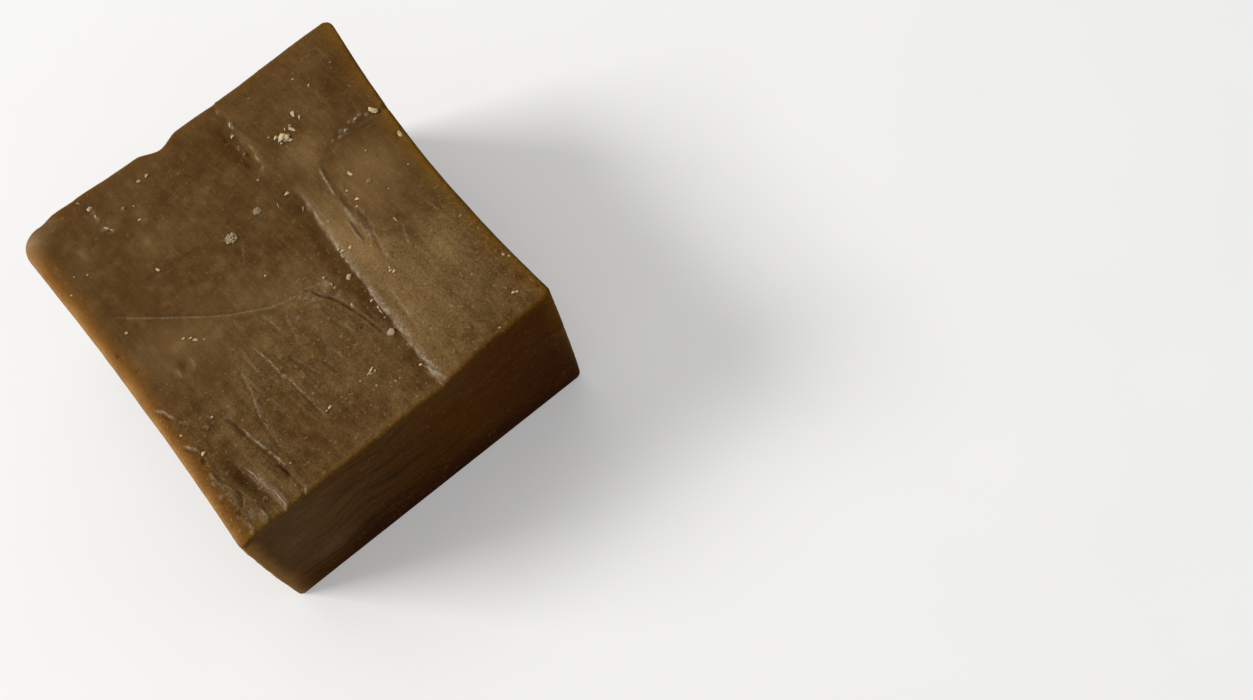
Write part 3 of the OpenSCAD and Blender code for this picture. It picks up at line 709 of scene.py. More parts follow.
# %% The torn patch
# Here the soap tore: lumps, a lobe, a crevice beside it and flat pale scars below. The crevice and some
# hollows are darkened with painted shade, and the raised torn edges carry pale lines of torn soap with
# painted highlights
patch = np.clip(1.7 * spot(-30.2, -28, 5.4, 14.5), 0, 1)
relief += 0.2 * patch * rough(on_plane, 1.5, 19)
painted_shade_and_dark = np.maximum(painted_shade_and_dark, 0.3 * patch * ease(2 * lumps(on_plane, 1.3, 26)))
draw([(-31.1, -21.9), (-30.6, -23.5), (-30.5, -24.8), (-29.9, -26), (-29.5, -27.3)],
     [(0, 0.3, 0.18, 0.5, 0), (0.5, 0.35, -0.15, 0, 0.4)], fade=(0.2, 0.1), wander=0.2, broken=0.6)
draw([(-30.9, -26.6), (-30, -27.4), (-29.9, -28.8), (-30.3, -30.1), (-30.9, -28.3)],
     [(0, 0.4, 0.25, 0.25, 0)], fade=(0.1, 0.1), wander=0.25, broken=0.6)
draw([(-29.2, -27.2), (-28.9, -28.5), (-29.4, -29.6), (-30.1, -30.4)], [(0, 0.38, -0.35, 0, 0.9)],
     fade=(0.2, 0.2), wander=0.1)
draw([(-29.6, -30.4), (-28.9, -31.2), (-28.2, -31.8), (-27.7, -32.6), (-27.6, -34), (-27.5, -35.4)],
     [(0, 0.3, 0.2, 0.6, 0), (0.6, 0.4, -0.1, 0, 0.35)], fade=(0.1, 0.1), wander=0.3, broken=0.9)
draw([(-31.6, -31), (-31.1, -32.4), (-30.7, -33.5), (-30.2, -35.3)], [(0, 0.3, 0.14, 0.5, 0)],
     fade=(0.2, 0.1), wander=0.2, broken=0.5)
dab([(-29.8, -19, 0.9, 0.9, 0.2, 0.5, 0), (-30.9, -23.1, 1.2, 1, 0.2, 0.4, 0),
     (-31.3, -24.2, 1, 1.2, 0.2, 0.4, 0), (-30.5, -25, 1, 0.8, 0.2, 0.4, 0),
     (-31.7, -26.8, 1.1, 1.2, 0.2, 0.35, 0), (-30.8, -30.8, 1.6, 3, -0.3, 0, 0.6),
     (-29.4, -32.4, 2.4, 2, 0.1, 0.25, 0), (-28.3, -34, 1.6, 3, 0.1, 0.2, 0),
     (-30.6, -34, 1.2, 2.4, 0.1, 0.2, 0), (-27, -15, 1, 0.8, 0.1, 0.4, 0),
     (-26.7, -13.4, 0.8, 0.7, 0.1, 0.4, 0), (-29.5, -31.6, 2, 1.2, -0.2, 0, 0.4)])
print("highest lump of the patch, mm:", round(float(relief[patch > 0].max()), 2))

# %% [markdown]
# ## Scratches and pits
#
# Handling leaves scratches, hairlines and small pits. Three kinds of line are enough, so each kind is a
# named list of bands, and only the places differ. Their dark bottoms and the pits are painted shade, and
# the soap pushed up beside them carries painted highlights.

# %% Scratches, streaks and pits
# A scratch has a bottom darkened with painted shade, and pushes soap up on its right, where a painted
# highlight lies
SCRATCH = [(0, 0.28, -0.14, 0, 0.4), (0.34, 0.28, 0.1, 0.5, 0)]
HAIR = [(0, 0.3, -0.06, 0, 0.2), (0.35, 0.3, 0.04, 0.15, 0)]
STREAK = [(0, 0.4, 0.05, 0.25, 0), (-0.6, 0.5, -0.06, 0, 0.15)]
draw([(-13, -7.5), (-12.4, -10.2), (-11.9, -12.5), (-11.8, -15.6)], [(0, 0.28, 0.08, 0.6, 0)],
     fade=(0.4, 0.1), wander=0.08, broken=0.4)
draw([(-11.6, -15.8), (-11.4, -19.4), (-11, -22), (-10.7, -24.5), (-10.5, -27.9)], SCRATCH, fade=(0.05, 0.3),
     wander=0.08, broken=0.4)
draw([(-16.6, -8), (-17.1, -10.3), (-17.4, -13.3), (-18.1, -16.4), (-19.1, -19.3), (-19.4, -22.8),
      (-19.9, -26.4)],
     SCRATCH, fade=(0.3, 0.2), wander=0.1, broken=0.9)
for line in ([(-11, -22), (-9.8, -24.6)], [(-18.1, -16), (-18.6, -18), (-18.9, -22.7), (-19.6, -27.1)],
             [(-19.1, -22), (-19.4, -25.8)], [(-12.4, -24.1), (-12.1, -27.2)],
             [(-5.6, 5), (-4, 8), (-3.3, 9.4)], [(-17.5, -10), (-16.4, -16), (-15.4, -22)],
             [(-9, -14), (-7.6, -18), (-6.4, -21)], [(5.3, 12.4), (5.4, 10.2), (5.9, 9.3)],
             [(11, 9), (10.7, 5), (10.4, 1)]):
    draw(line, HAIR, fade=(0.3, 0.3), wander=0.1, broken=0.5)
for line in ([(-4.5, -6.1), (-5.3, -8.8), (-5.8, -11.3), (-6.4, -13.4)],
             [(-0.1, -10.7), (0.8, -13), (2.1, -16), (2.7, -19.5)],
             [(-14.5, -6), (-14.6, -11), (-14.2, -15)], [(-8.2, -4), (-7.6, -7), (-7.2, -10)],
             [(-25.3, -3), (-24.9, -4.2), (-25.2, -5.4)], [(-22.5, -2.6), (-22, -4), (-22.3, -5.4)],
             [(-3, -14), (-2, -19), (-1.5, -23)], [(12, -12), (11.5, -20), (11.2, -26)]):
    draw(line, STREAK, fade=(0.3, 0.3), wander=0.12, broken=0.5)
# The groove across the far left part is only a soft shade
draw([(-7.5, 12.8), (-11.2, 13.3), (-14.2, 13.4), (-16.6, 13.6), (-19.1, 14), (-22, 14.5)],
     [(0, 0.9, -0.12, 0, 0.4)], fade=(0.2, 0.3), wander=0.2)
for line in ([(-16.7, 10.4), (-16.7, 8.1), (-17, 6)], [(-14.3, 2.5), (-14.7, 0.5)]):
    draw(line, [(0, 0.5, -0.06, 0, 0.15)], fade=(0.3, 0.3))
dab([(-20.2, 31.2, 1.8, 1.4, 0.1, 0.3, 0), (-20.3, 29.6, 1.2, 1.8, 0.1, 0.35, 0),
     (-20.3, 27.2, 2.2, 1.2, 0.1, 0.35, 0), (-19.4, 25.8, 1.8, 1, 0.1, 0.3, 0),
     (-15.7, 28.2, 1.4, 1.2, 0.1, 0.3, 0)])
# A painted highlight at the end of a scratch, and dents and pits darkened with painted shade
dab([(-11.6, -16.2, 0.9, 1.2, 0.2, 0.9, 0), (-26, -4.1, 2.2, 2.2, -0.12, 0, 0.2),
     (-23.4, -3.6, 2.6, 2.6, -0.12, 0, 0.2), (-25.6, -11.5, 4, 4, -0.12, 0, 0.15),
     (-31.5, 5.3, 1.1, 1.1, -0.4, 0, 1), (-30.5, 0.5, 0.8, 0.8, -0.3, 0, 0.9),
     (-30.5, -19.9, 1.5, 1.3, -0.4, 0, 1), (31.8, -31.1, 1, 1, -0.4, 0, 1),
     (3.9, -17.6, 0.7, 0.7, -0.3, 0, 0.8), (-9.6, -26.4, 0.7, 0.7, -0.1, 0, 0.6),
     (-31, -13.8, 0.8, 0.7, -0.1, 0, 0.6), (8.2, -21.9, 1.2, 1.8, -0.1, 0, 0.5)])
print("lines drawn in all:", len(drawn))

# %% [markdown]
# ## Where the crumbs lie
#
# Cutting leaves crumbs, and some stuck while the soap was soft. Each has its own place, so tables give the
# place, the length, width and height in millimetres, and the turn in degrees. The larger ones have pressed
# a slight hollow, and painted shade makes a dark halo round them. So the tables come here, before the
# relief is finished.

# %% Tables of crumbs
CRUMBS = [
    (13.5, 22.3, 1.0, 0.7, 0.6, 30), (15.1, 20.1, 0.9, 0.8, 0.6, 0), (16.6, 21.9, 1.6, 0.6, 0.5, 120),
    (16.8, 22.9, 0.6, 0.5, 0.4, 0), (18.5, 24.3, 1.4, 0.8, 0.5, 80), (19.1, 23.3, 0.9, 0.5, 0.4, 60),
    (12.3, 23.2, 0.5, 0.4, 0.3, 0), (17.5, 2.9, 0.8, 0.7, 0.4, 0), (16.7, 1.5, 0.5, 0.4, 0.3, 0),
    (17.0, 5.0, 0.5, 0.4, 0.3, 0), (11.1, 2.3, 0.4, 0.4, 0.3, 0), (9.5, -3.7, 1.0, 0.5, 0.5, 0),
    (9.0, -4.6, 0.8, 0.4, 0.5, 90), (9.2, -3.2, 0.7, 0.4, 0.4, 20), (9.0, -5.9, 0.9, 0.35, 0.4, 95),
    (14.0, -6.2, 0.4, 0.3, 0.3, 0), (13.8, -12.2, 0.6, 0.6, 0.5, 0), (14.3, -12.8, 0.7, 0.6, 0.5, 30),
    (14.1, -11.7, 0.4, 0.4, 0.3, 0), (27.6, -29.5, 0.8, 0.6, 0.5, 0), (28.2, -29.7, 0.6, 0.5, 0.4, 0),
    (21.9, -34.1, 0.6, 0.3, 0.3, 0), (22.7, 30.4, 0.5, 0.4, 0.3, 0), (24.2, 27.5, 0.6, 0.4, 0.3, 40),
    (30.2, 28.6, 0.4, 0.4, 0.3, 0), (8.4, 11.8, 1.1, 0.7, 0.5, 10), (5.9, 17.3, 0.6, 0.4, 0.4, 0),
    (7.4, 27.8, 0.9, 0.6, 0.4, 30), (8.4, 29.4, 0.8, 0.4, 0.4, 60), (8.0, -14.7, 0.9, 0.5, 0.4, 20),
    (8.1, -16.3, 0.8, 0.35, 0.4, 90), (8.0, -17.4, 0.9, 0.3, 0.4, 100), (7.9, -18.6, 0.4, 0.3, 0.3, 0),
    (7.4, -29.7, 0.7, 0.5, 0.4, 0), (-0.4, -25.1, 0.9, 0.3, 0.3, 10), (0.5, -24.9, 1.3, 0.4, 0.35, 25),
    (0.0, -25.4, 0.6, 0.3, 0.3, 0), (1.0, -25.4, 0.5, 0.3, 0.3, 60), (-0.5, -27.9, 0.4, 0.4, 0.3, 0),
    (-8.8, -25.9, 0.9, 0.5, 0.4, 20), (-9.5, -26.1, 0.5, 0.3, 0.3, 0), (-3.6, 0.9, 0.5, 0.5, 0.4, 0),
    (-20.0, -0.3, 0.7, 0.4, 0.3, 0), (-19.5, -0.8, 1.1, 0.6, 0.35, -30), (-20.9, 0.7, 0.7, 0.4, 0.3, 10),
    (-18.3, -2.0, 0.4, 0.3, 0.3, 0), (-25.0, -14.4, 0.6, 0.5, 0.5, 0), (-30.9, -13.8, 0.5, 0.5, 0.3, 0),
    (-29.8, -19.0, 0.9, 0.7, 0.4, 40), (-19.6, -29.4, 0.4, 0.4, 0.3, 0), (-28.0, 7.8, 0.7, 0.6, 0.4, 0),
    (-27.3, 21.6, 0.5, 0.4, 0.3, 30), (-14.6, 24.4, 0.8, 0.4, 0.3, 0), (-13.9, 27.4, 0.4, 0.4, 0.3, 0),
    (-31.6, 20.0, 0.5, 0.4, 0.3, 0), (-29.4, 22.8, 0.4, 0.3, 0.3, 0), (24.3, 9.5, 0.4, 0.3, 0.3, 0),
    (28.6, 2.2, 0.4, 0.3, 0.3, 0), (23.0, 0.6, 0.4, 0.3, 0.3, 0), (14.2, 21.4, 2.1, 1.7, 1.4, 20),
    (15.2, 21.1, 1.4, 1.2, 1.2, 70), (14.7, 20.5, 1.2, 0.9, 1.0, 0), (13.5, 20.6, 0.6, 0.5, 0.5, 10),
    (14.0, 19.6, 0.4, 0.3, 0.3, 0), (15.8, 22.6, 0.5, 0.3, 0.3, 70), (-10.5, 31.3, 0.9, 0.8, 0.7, 0),
    (-8.8, 31.3, 0.8, 0.7, 0.6, 40), (4.2, -6.0, 0.5, 0.4, 0.4, 0), (4.3, -7.7, 0.5, 0.3, 0.4, 70),
    (4.5, -8.6, 0.4, 0.3, 0.3, 0), (-2.1, -25.3, 0.4, 0.3, 0.3, 0), (2.6, -29.3, 0.4, 0.3, 0.3, 0),
    (3.2, -29.1, 0.3, 0.3, 0.3, 0), (8.5, 29.6, 0.5, 0.4, 0.6, 80), (7.6, -8.3, 0.7, 0.5, 0.6, 20)]
FLAKES = [
    (31.1, 8.3, 1.8, 0.8, 0.5, 80), (19.5, 7.7, 1.7, 0.6, 0.4, 100), (11.1, -4.1, 1.1, 0.6, 0.4, 10),
    (30.8, -22.7, 0.8, 0.4, 0.4, 120), (31.6, -23.5, 0.6, 0.3, 0.3, 120), (7.5, -8.5, 1.6, 0.8, 0.6, 30),
    (5.0, -13.4, 1.3, 0.5, 0.5, 85), (-17.4, 14.4, 1.3, 0.5, 0.4, 110), (-20.3, 32.0, 1.3, 0.8, 0.4, 10),
    (30.4, 15.7, 2.7, 1.1, 0.6, 115)]
GRANULES = [
    (21.3, 4.1, 1.2, 0.9, 0.4, 0), (29.5, -11.8, 0.7, 0.6, 0.3, 0), (14.2, 32.0, 0.6, 0.5, 0.3, 0),
    (-4.1, 10.7, 2.5, 2.2, 0.55, 0), (6.9, 23.1, 0.7, 0.5, 0.3, 0), (-26.6, -15.4, 0.7, 0.4, 0.3, 20),
    (2.4, 12.2, 1.7, 1.5, 0.45, 0), (-15.7, 28.2, 0.8, 0.7, 0.3, 0)]
SLIVERS = [
    (20.4, -4.7, 1.5, 0.4, 0.3, 95), (8.8, 7.4, 1.5, 0.35, 0.35, 50), (6.0, 11.0, 1.6, 0.25, 0.25, 75),
    (-21.4, 34.6, 1.1, 0.3, 0.2, 120), (7.1, -21.7, 1.9, 1.7, 0.6, 0), (-20.2, 30.4, 1.0, 0.6, 0.3, 80),
    (-20.0, 27.1, 1.3, 0.6, 0.3, -50), (-19.5, 26.1, 0.9, 0.4, 0.2, -60), (24.0, 15.2, 0.9, 0.6, 0.4, 10),
    (26.8, 15.9, 0.9, 0.6, 0.4, 10)]
table = np.array([(*row, kind) for kind, rows_of_kind in enumerate([CRUMBS, FLAKES, GRANULES, SLIVERS])
                  for row in rows_of_kind], float)
# A crumb of this length or more has a halo, which is wider than the crumb, slightly deep and slightly
# darkened with painted shade
HALO_FROM_MM, HALO_GROWTH, HALO_MARGIN, HALO_DEPTH, HALO_SHADE = 0.9, 1.5, 0.5, 0.08, 0.3
for x, y, length in table[table[:, 2] >= HALO_FROM_MM][:, :3]:
    halo = spot(x, y, HALO_GROWTH * length + HALO_MARGIN)
    relief -= HALO_DEPTH * halo
    painted_shade_and_dark = np.maximum(painted_shade_and_dark, HALO_SHADE * halo)
print("crumbs in the tables:", len(table))

# %% [markdown]
# ## Swells and drag texture
#
# The cutting blade dragged along the depth. It left lumps that are drawn out about ten times, strong near
# the front and on the slab, and faint on the smooth far left part. Where the drag is strong the surface is
# also grainy, so the same share goes to the material, which gives the grain there more contrast.

# %% Swells and drag texture
# The drag marks are turned from the depth by this angle in radians, and measure this much in mm
DRAG_TURN, DRAG_MARK_W, DRAG_MARK_L = 0.113, 1.1, 11
to_front = ease((2 - y_seen) / 20)
on_slab = ease((x_seen - 9) / 2)
front_band = hump((y_seen + 36) / 3)
grainy = 0.42 + 0.5 * to_front + 0.4 * on_slab * ease((4 - y_seen) / 26) + 0.2 * rough(on_plane, 12, 24)
grainy = np.clip(grainy - 0.15 * ease((-8 - x_seen) / 10) * (1 - to_front), 0.15, 1)
dragged = np.stack([(x_seen + DRAG_TURN * y_seen) / DRAG_MARK_W, y_seen / DRAG_MARK_L, 0 * x_seen], -1)
relief += 0.12 * rough(on_plane, 9, 20) + (0.05 + 0.09 * grainy) * rough(on_plane, 2.8, 21)
relief += grainy * (0.03 * lumps(on_plane, 0.8, 22) + 0.12 * rough(dragged, 1, 23))
print("relief, mm:", round(float(relief.min()), 2), "to", round(float(relief.max()), 2))

# %% [markdown]
# ## Broad tones
#
# Dry soap isn't one brown. Where it dried fastest it has a greyish bloom, and the same tone also paints the
# sheen of slopes that face the light. Hollows get a deeper brown, which is mostly painted shade, and thin
# edges let light through, which is painted as a yellow glow. These tones change slowly, so each is a number
# on every mesh point, built from soft spots, and the material reads it. Numbers on the mesh stay in place
# whatever the light or the camera does.

# %% Bloom and depth
# Each spot: x, y, width, depth and strength
# Bloom spots are greyish bloom and painted sheen; deep spots are a deeper brown and painted shade in hollows
BLOOM_AND_SHEEN_SPOTS = [[-5, -5, 34, 26, 0.25], [-13, 18, 24, 14, 0.2], [-26, 24.5, 5, 6, 0.15],
               [-22, 0, 24, 22, 0.33], [3.3, -7.6, 3, 3.6, 0.4], [12, -4, 9, 40, 0.6],
               [12, -24, 12, 28, 0.25], [20, -16, 24, 36, 0.58], [22, 6, 20, 20, 0.5], [16, 17, 14, 8, 0.5],
               [5, -14, 4, 9, 0.35], [25, -28, 20, 18, 0.1], [26, -14, 16, 24, 0.25], [15, 14, 7, 7, 0.4],
               [-24, -29, 3.4, 12, 0.3], [-24.3, -19, 3, 10, 0.25], [8.6, 24, 2.6, 12, 0.4],
               [-2, -22, 34, 26, 0.17], [-18, -12, 26, 20, 0.15], [6.4, -20, 4, 14, 0.3],
               [-30, -28, 6, 14, 0.3]]
DEEP_BROWN_AND_SHADE_SPOTS = [[5.2, 26, 6, 18, 0.75], [6, 4, 6, 20, 0.3], [6.6, -4, 5, 12, 0.45], [7, -14, 4, 14, 0.35],
              [0.5, 15, 9, 8, 0.7], [30, 27, 22, 18, 0.45], [21, 33, 26, 5, 0.2], [-22, -9, 12, 8, 0.3],
              [-27.3, -24, 5, 20, 0.6], [-6, -31, 26, 10, 0.2], [3, 27, 12, 12, 0.25], [-30, 30, 8, 10, 0.2],
              [18, 11.5, 6, 5, 0.35], [22, 3, 7, 10, 0.25], [-16, -29, 14, 10, 0.35], [-6, 29, 26, 14, 0.25],
              [-24, 14, 14, 16, 0.2], [-29, 25, 9, 10, 0.2], [-3, -25, 14, 12, 0.15]]
bloom_and_sheen = sum(share * spot(x, y, w, d) for x, y, w, d, share in BLOOM_AND_SHEEN_SPOTS)
deep = sum(share * spot(x, y, w, d) for x, y, w, d, share in DEEP_BROWN_AND_SHADE_SPOTS)
# The lip parts deep brown, painted shade at its foot, on its left from paler soap with a painted sheen on
# its right: [share along it, contrast]
LIP_CONTRAST = [[0, 0.9], [0.3, 1], [0.55, 0.8], [0.62, 0.5], [0.67, 0.1], [0.74, 0.1], [0.79, 0.4],
                [0.9, 0.25], [1, 0.2]]
beyond_lip = ease((ridge_off + 0.05) / 0.2)
on_slab_side = ease((x_seen - 6) / 3)
bloom_and_sheen += mix(0.4, 0.12, on_slab_side) * np.clip(rough(on_plane, 2, 34), 0, 1)
bloom_and_sheen += 0.42 * along(v, LIP_CONTRAST) * beyond_lip * np.exp(-np.maximum(ridge_off, 0) / 6)
deep += 0.7 * along(v, LIP_CONTRAST) * (1 - beyond_lip) * np.exp(np.minimum(ridge_off, 0) / 1.8)
bloom_and_sheen = bloom_and_sheen * (1 + 0.35 * rough(on_plane, 5, 30)) + 0.14 * rough(on_plane, 7, 31) + 0.2 * front_band
deep = deep * (1 + 0.35 * rough(on_plane, 4, 32)) + 0.12 * rough(on_plane, 6, 33)
bloom_and_sheen, deep = np.clip(bloom_and_sheen, 0, 1), np.clip(deep, 0, 1)
print("mean bloom and deep brown:", [round(float(tone.mean()), 2) for tone in (bloom_and_sheen, deep)])

# %% [markdown]
# ## Closing the mesh
#
# The top grid needs an edge, four sides and an underside. Its rim is followed once round, and that loop is
# repeated downwards: an arc for the top edge, straight steps down the sides, an arc at the foot, and then
# smaller loops to the middle of the underside. Loops of the same count join into clean quads with no holes.

# %% The rim
last = (cols + 1) * rows
rim = np.concatenate([np.arange(cols), cols + (cols + 1) * np.arange(rows),
                      last + np.arange(cols, 0, -1), (cols + 1) * np.arange(rows, 0, -1)])
u_rim, v_rim = u[rim], v[rim]
top_points = leaned(plan(u, v, TOP_EDGE_R), u, v, z + relief)
z_rim = (z + relief)[rim]


def ring(inset, heights):
    """A loop of points round the block, at heights that may differ round it."""
    return leaned(plan(u_rim, v_rim, inset), u_rim, v_rim, heights)


# Outward direction of the sides
outline = plan(u_rim, v_rim, 0)
tangent = np.roll(outline, -1, 0) - np.roll(outline, 1, 0)
outward = np.stack([tangent[:, 1], -tangent[:, 0]], -1)
outward /= np.linalg.norm(outward, axis=1, keepdims=True)
outward = np.concatenate([outward, np.zeros((len(rim), 1))], 1)
print("points round the rim:", len(rim))


# %% Rings
def side_relief(points):
    """Slow swells and the wavering level steps that a cutting wire leaves, in millimetres."""
    bent = points + np.stack([0 * points[:, 0], 0 * points[:, 0], 2.2 * lumps(points, 16, 43)], -1)
    drawn_out = rough(bent * [0.07, 0.07, 1], 2.0, 41) * (0.09 + 0.06 * lumps(points, 15, 44))
    return 0.22 * rough(points, 13, 40) + drawn_out + 0.07 * rough(points, 2.2, 42)


EDGE_STEPS, SIDE_STEPS, FOOT_STEPS = 4, 27, 3
UNDERSIDE_SHARES = [0.85, 0.6, 0.3]
# The sides' relief starts at half its height, is whole a fifth of the way down, and runs out above the foot
RELIEF_AT_EDGE, RELIEF_GROWTH, RUN_OUT_FROM, RUN_OUT_OVER = 0.5, 5, 0.8, 0.2
rings = []
for k in range(1, EDGE_STEPS + 1):
    turn = np.pi / 2 * k / EDGE_STEPS
    points = ring(TOP_EDGE_R * (1 - np.sin(turn)), z_rim - TOP_EDGE_R * (1 - np.cos(turn)))
    rings.append(points + outward * (np.sin(turn) * side_relief(points))[:, None] * RELIEF_AT_EDGE)
for k in range(1, SIDE_STEPS + 1):
    down = k / SIDE_STEPS
    points = ring(0, mix(z_rim - TOP_EDGE_R, FOOT_EDGE_R, down))
    held = RELIEF_AT_EDGE + (1 - RELIEF_AT_EDGE) * ease(down * RELIEF_GROWTH)
    kept = 1 - ease((down - RUN_OUT_FROM) / RUN_OUT_OVER)
    rings.append(points + outward * (side_relief(points) * held * kept)[:, None])
for k in range(1, FOOT_STEPS + 1):
    turn = np.pi / 2 * k / FOOT_STEPS
    rings.append(ring(FOOT_EDGE_R * (1 - np.cos(turn)), FOOT_EDGE_R * (1 - np.sin(turn)) + 0 * u_rim))
foot = rings[-1]
rings += [foot * [share, share, 1] for share in UNDERSIDE_SHARES]
bar_points = np.concatenate([top_points] + rings + [np.zeros((1, 3))])
print("rings:", len(rings), "of", len(rim), "points; all points:", len(bar_points))

# %% Faces
cell = np.arange(rows)[:, None] * (cols + 1) + np.arange(cols)[None, :]
quads = [np.stack([cell, cell + 1, cell + cols + 2, cell + cols + 1], -1).reshape(-1, 4)]
loops = [rim] + [len(top_points) + i * len(rim) + np.arange(len(rim)) for i in range(len(rings))]
for upper, lower in zip(loops, loops[1:]):
    quads.append(np.stack([upper, lower, np.roll(lower, -1), np.roll(upper, -1)], -1))
quads = np.concatenate(quads)
middle = len(bar_points) - 1
fan = np.stack([loops[-1], np.full(len(rim), middle), np.roll(loops[-1], -1)], -1)
bar_mesh = bpy.data.meshes.new("soap")
bar_mesh.from_pydata((bar_points * MM).tolist(), [], quads.tolist() + fan.tolist())
bar_mesh.shade_smooth()
bar = bpy.data.objects.new("soap", bar_mesh)
scene.collection.objects.link(bar)
print("triangles:", 2 * len(quads) + len(fan))

# %% [markdown]
# ## Tones on the sides and the glow of the edges
#
# The tones of the top run over its edge. The sides get their own: the upper left of the front face has a
# greyish bloom with a painted sheen, and wavering streaks, and its foot and its right part are darker with
# painted shade. Light crosses the thin edges, so they are brighter, and that light is painted into their
# colour as a glow. The glow is amber: it is the closeness to the left edge, the far left corner, the near
# left upright edge and, more faintly, the far edge. The front edge, the right edge and the near right
# upright edge get a golden painted glow instead. The far left corner, which is rounded, is paler as well.

# %% Distances from the edges
def near(distance, reach):
    """One at an edge, falling to nothing at its reach."""
    return np.clip(1 - distance / reach, 0, 1) ** 1.6


all_u = np.concatenate([u, np.tile(u_rim, len(rings)), [0.5]])
all_v = np.concatenate([v, np.tile(v_rim, len(rings)), [0.5]])
x_mm, z_mm = bar_points[:, 0], bar_points[:, 2]
# The first two loops of the rounded edge still belong mostly to the top
ROUNDED_TOP_LOOPS, ROUNDED_TOP_SHARE = 2, 0.6
on_top = np.zeros(len(bar_points))
on_top[:len(u)] = 1
on_top[len(u):len(u) + ROUNDED_TOP_LOOPS * len(rim)] = ROUNDED_TOP_SHARE
# The rounded edge adds its own share to the distance from each side's plane
rounding = np.zeros(len(bar_points))
rounding[:len(u)] = TOP_EDGE_R
for k in range(EDGE_STEPS):
    start = len(u) + k * len(rim)
    rounding[start:start + len(rim)] = TOP_EDGE_R * (1 - np.sin(np.pi / 2 * (k + 1) / EDGE_STEPS))
from_left, from_right = all_u * BLOCK_L + rounding, (1 - all_u) * BLOCK_L + rounding
from_front, from_far = all_v * BLOCK_D + rounding, (1 - all_v) * BLOCK_D + rounding
below = np.maximum(np.concatenate([z + relief, np.tile(z_rim, len(rings)), [BLOCK_H]]) - z_mm, 0)
wobble = 1 + 0.25 * rough(bar_points, 6, 50)
side_only = ease((below - TOP_EDGE_R) / 2)
far_left, near_left = np.hypot(from_left, from_far), np.hypot(from_left, from_front)
near_right = np.hypot(from_right, from_front)
print("farthest point from the left side, mm:", round(float(from_left.max()), 1))

# %% Glow of the edges
# How far from its edge each painted glow and the paler far corner reach, in mm
FRONT_REACH, RIM_REACH, UPRIGHT_REACH, PALER_CORNER_REACH, CORNER_REACH = 1.5, 4.5, 4.6, 8, 9.5
# The distances over which the brightest ones fade, from the edge and downwards, in mm
LEFT_FADE, NEAR_LEFT_FADE = 1.7, 2.2
GLOW_DEPTH, GOLD_DEPTH, RIGHT_DEPTH, PALER_CORNER_DEPTH = 7, 0.7, 22, 14
# Painted light: the amber glow of the left edge, the far left corner, the near left upright edge and the far
# edge
left_painted_glow = mix(0.7, 0.88, ease(all_v / 0.16)) * np.exp(-from_left * wobble / LEFT_FADE)
left_painted_glow += mix(0.27, 0.13, all_v) * near(from_left * wobble, RIM_REACH)
upright_painted_glow = 1.5 * np.exp(-near_left * wobble / NEAR_LEFT_FADE) * mix(0.7, 1.0, ease(z_mm / 20)) * side_only
painted_glow = np.max([left_painted_glow * np.exp(-below / GLOW_DEPTH),
               0.45 * near(far_left * wobble, CORNER_REACH),
               0.22 * near(from_far * wobble, RIM_REACH) * np.exp(-below / GLOW_DEPTH),
               upright_painted_glow + 0.3 * near(near_left * wobble, UPRIGHT_REACH)], 0)
painted_glow = np.clip(painted_glow * (1 + 0.25 * rough(bar_points, 2.2, 54)), 0, 1)
# Painted light: the golden glow of the front edge, the right edge and the near right upright edge
golden_painted_glow = np.max([1.1 * near(from_front * wobble, FRONT_REACH) * np.exp(-below / GOLD_DEPTH),
                 0.9 * near(from_right * wobble, RIM_REACH) * np.exp(-below / RIGHT_DEPTH),
                 1.1 * near(near_right * wobble, UPRIGHT_REACH) * ease(z_mm / 34)], 0)
golden_painted_glow = np.clip(golden_painted_glow * (1 + 0.5 * rough(bar_points, 2.2, 56)), 0, 1)
# The far left corner is paler
paler_far_corner = near(far_left * wobble, PALER_CORNER_REACH) * np.exp(-below / PALER_CORNER_DEPTH)
print("glowing share of the surface:", round(float((painted_glow > 0.2).mean()), 2))

# %% Tones on every point
on_front = near(from_front, 2.5) * (1 - on_top)
side = 1 - on_top
# Painted sheen: the front face is lighter and greyer towards its upper left, with a grey and an olive patch
# on it as well
upper_left = ease((8 - x_mm) / 46) * ease((z_mm - 2) / 30)
grey_patch = 0.4 * hump(np.hypot((x_mm + 24) / 9, (z_mm - 14) / 9))
olive_top = 0.15 * hump(np.hypot((x_mm - 6) / 18, (z_mm - 40) / 12))
patchy_front = 1 + 0.5 * rough(bar_points, 7, 52)
front_bloom_and_sheen = on_front * np.clip((0.5 * upper_left + grey_patch + olive_top) * patchy_front, 0, 1)
side_patches = np.clip(0.3 + 0.5 * rough(bar_points, 11, 51), 0, 1)
side_bloom = side * (1 - on_front) * (1 - near(near_right, 9)) * side_patches
# Painted shade: the sides are darker towards the floor, and the front face towards its right
at_foot = ease((15 - z_mm) / 12) * mix(0.5, 0.2 + 0.8 * ease((x_mm + 26) / 14), on_front)
at_right = on_front * ease((x_mm - 8) / 20) * (0.3 + 0.5 * ease((40 - z_mm) / 24))
patchy_foot = 1 + 0.25 * rough(bar_points, 6, 55)
painted_foot_shade = side * mix(0.5, 1.0, on_front) * np.clip(np.maximum(at_foot, at_right) * patchy_foot, 0, 1)
streaky = side * np.clip(mix(0.2, 0.15 + 0.85 * ease((14 - x_mm) / 26), on_front)
                         + 0.4 * mix(0.4, 1.0, on_front) * rough(bar_points, 12, 53), 0.05, 1)


def carried(source):
    """A tone of the top on every point, fading as it runs over the edge."""
    tone = np.zeros(len(bar_points))
    tone[:len(u)] = source
    for i in range(EDGE_STEPS):
        start = len(u) + i * len(rim)
        tone[start:start + len(rim)] = source[rim] * (1 - (i + 1) / EDGE_STEPS)
    return tone


